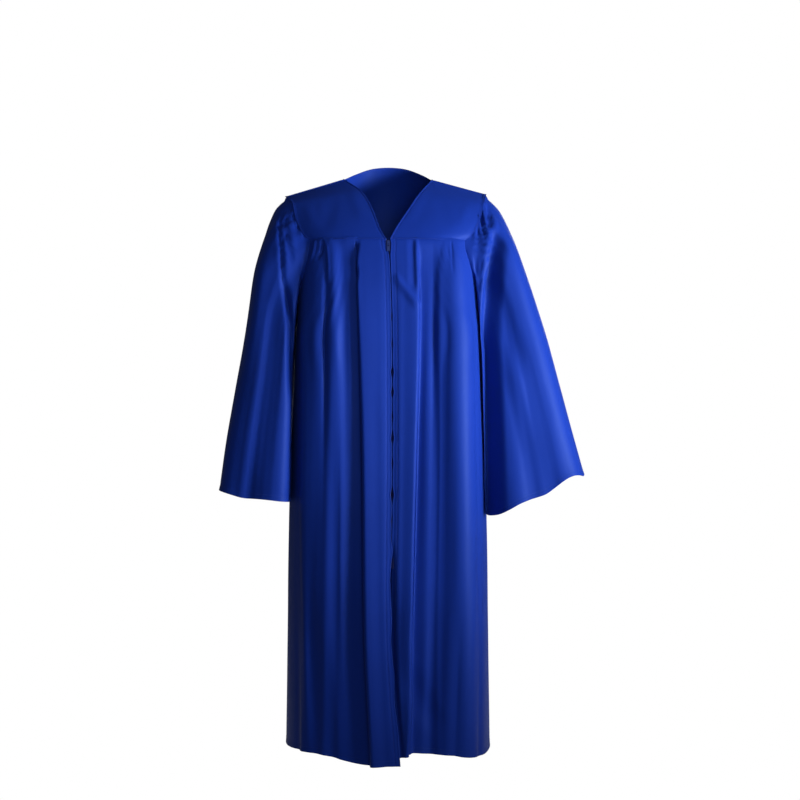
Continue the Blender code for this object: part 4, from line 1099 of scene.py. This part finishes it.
class GOWN_OT_sewing(bpy.types.Operator):
    """Sew the lines of stitches along seams, zip edges, neck and hems"""

    bl_idname = "gown.sewing"
    bl_label = "Sewing"

    def execute(self, context):
        settings = context.scene.gown_sewing
        size = (settings.stitch, settings.thread, settings.thread)
        rise = settings.thread * STITCH_RISE_SHARE
        for node, rows in sewing_lines().items():
            work = bmesh.new()
            for edge, inset, start, end in rows:
                points, normals = SHEETS[node].inset_line(edge, inset)
                first, last = round(start * (len(points) - 1)), round(end * (len(points) - 1))
                frames = line_frames(points[first:last + 1], normals[first:last + 1], settings.pitch)
                for place, along, normal in zip(*frames):
                    add_bead(work, place + normal * rise, along, normal, size)
            finish_object(node + "_stitches", work, thread())
        return {"FINISHED"}


def camera_only(tree, dim, seen):
    """A shader that is one thing to the camera and another to the light that falls on the gown."""
    path = add_node(tree, "ShaderNodeLightPath")
    mix = add_node(tree, "ShaderNodeMixShader", Fac=path.outputs["Is Camera Ray"])
    tree.links.new(dim.outputs[0], mix.inputs[1])
    tree.links.new(seen.outputs[0], mix.inputs[2])
    return mix.outputs[0]


def make_floor():
    work = bmesh.new()
    bmesh.ops.create_grid(work, x_segments=1, y_segments=1, size=FLOOR_REACH)
    bmesh.ops.translate(work, verts=work.verts, vec=(0, 0, HEM_HEIGHT - FLOOR_DROP))
    mesh = bpy.data.meshes.new("studio_floor")
    work.to_mesh(mesh)
    work.free()
    paper, tree, shader = new_material("studio_paper", PAPER_COLOUR, roughness=0.9)
    seen = camera_only(tree, shader, add_node(tree, "ShaderNodeEmission", Strength=1.0))
    set_inputs(tree, tree.nodes["Material Output"], Surface=seen)
    mesh.materials.append(paper)
    floor = bpy.data.objects.new("studio_floor", mesh)
    bpy.context.scene.collection.objects.link(floor)


def make_surround(strength):
    world = bpy.data.worlds.new("studio_world")
    world.use_nodes = True
    tree = world.node_tree
    dim = set_inputs(tree, tree.nodes["Background"], Color=SURROUND_COLOUR, Strength=strength)
    seen = camera_only(tree, dim, add_node(tree, "ShaderNodeBackground", Color=WHITE, Strength=1.0))
    set_inputs(tree, tree.nodes["World Output"], Surface=seen)
    bpy.context.scene.world = world


class GOWN_OT_stage(bpy.types.Operator):
    """Set up the pale floor, the studio lights and the camera"""

    bl_idname = "gown.stage"
    bl_label = "Studio"

    def execute(self, context):
        scene = context.scene
        settings = scene.gown_stage
        make_floor()
        make_surround(settings.surround)
        for name, place, aim, size, spread in LIGHTS:
            lamp = bpy.data.lights.new(name + "_light", "AREA")
            lamp.energy = getattr(settings, name)
            lamp.size = size
            lamp.spread = math.radians(spread)
            lamp_object = bpy.data.objects.new(name + "_light", lamp)
            lamp_object.location = place
            lamp_object.rotation_euler = (Vector(aim) - Vector(place)).to_track_quat("-Z", "Y").to_euler()
            scene.collection.objects.link(lamp_object)

        lens = bpy.data.cameras.new("studio_camera")
        lens.lens = settings.lens
        camera = bpy.data.objects.new("studio_camera", lens)
        camera.location = (CAMERA_ACROSS, -settings.distance, CAMERA_HEIGHT)
        camera.rotation_euler = (math.pi / 2, 0, 0)
        scene.collection.objects.link(camera)
        scene.camera = camera
        scene.view_settings.view_transform = "Standard"
        return {"FINISHED"}


class GOWN_PT_panel(bpy.types.Panel):
    bl_label = "Graduation gown"
    bl_idname = "GOWN_PT_panel"
    bl_space_type = "VIEW_3D"
    bl_region_type = "UI"
    bl_category = "Gown"

    def draw(self, context):
        column = self.layout.column()
        for operator in OPERATORS:
            column.operator(operator.bl_idname)


OPERATORS = (
    GOWN_OT_yokes, GOWN_OT_fronts, GOWN_OT_back, GOWN_OT_sleeves, GOWN_OT_zip, GOWN_OT_sewing, GOWN_OT_stage,
)
SETTINGS = {
    "gown_cloth": GownClothSettings,
    "gown_sewing": GownSewingSettings,
    "gown_stage": GownStageSettings,
}


def register():
    for group in (*SETTINGS.values(), *OPERATORS, GOWN_PT_panel):
        bpy.utils.register_class(group)
    for name, group in SETTINGS.items():
        setattr(bpy.types.Scene, name, bpy.props.PointerProperty(type=group))


def unregister():
    for name in SETTINGS:
        delattr(bpy.types.Scene, name)
    for group in reversed((*SETTINGS.values(), *OPERATORS, GOWN_PT_panel)):
        bpy.utils.unregister_class(group)


def main():
    register()
    bpy.ops.gown.yokes()
    bpy.ops.gown.fronts()
    bpy.ops.gown.back()
    bpy.ops.gown.sleeves()
    bpy.ops.gown.zip()
    bpy.ops.gown.sewing()
    bpy.ops.gown.stage()


if __name__ == "__main__":
    main()
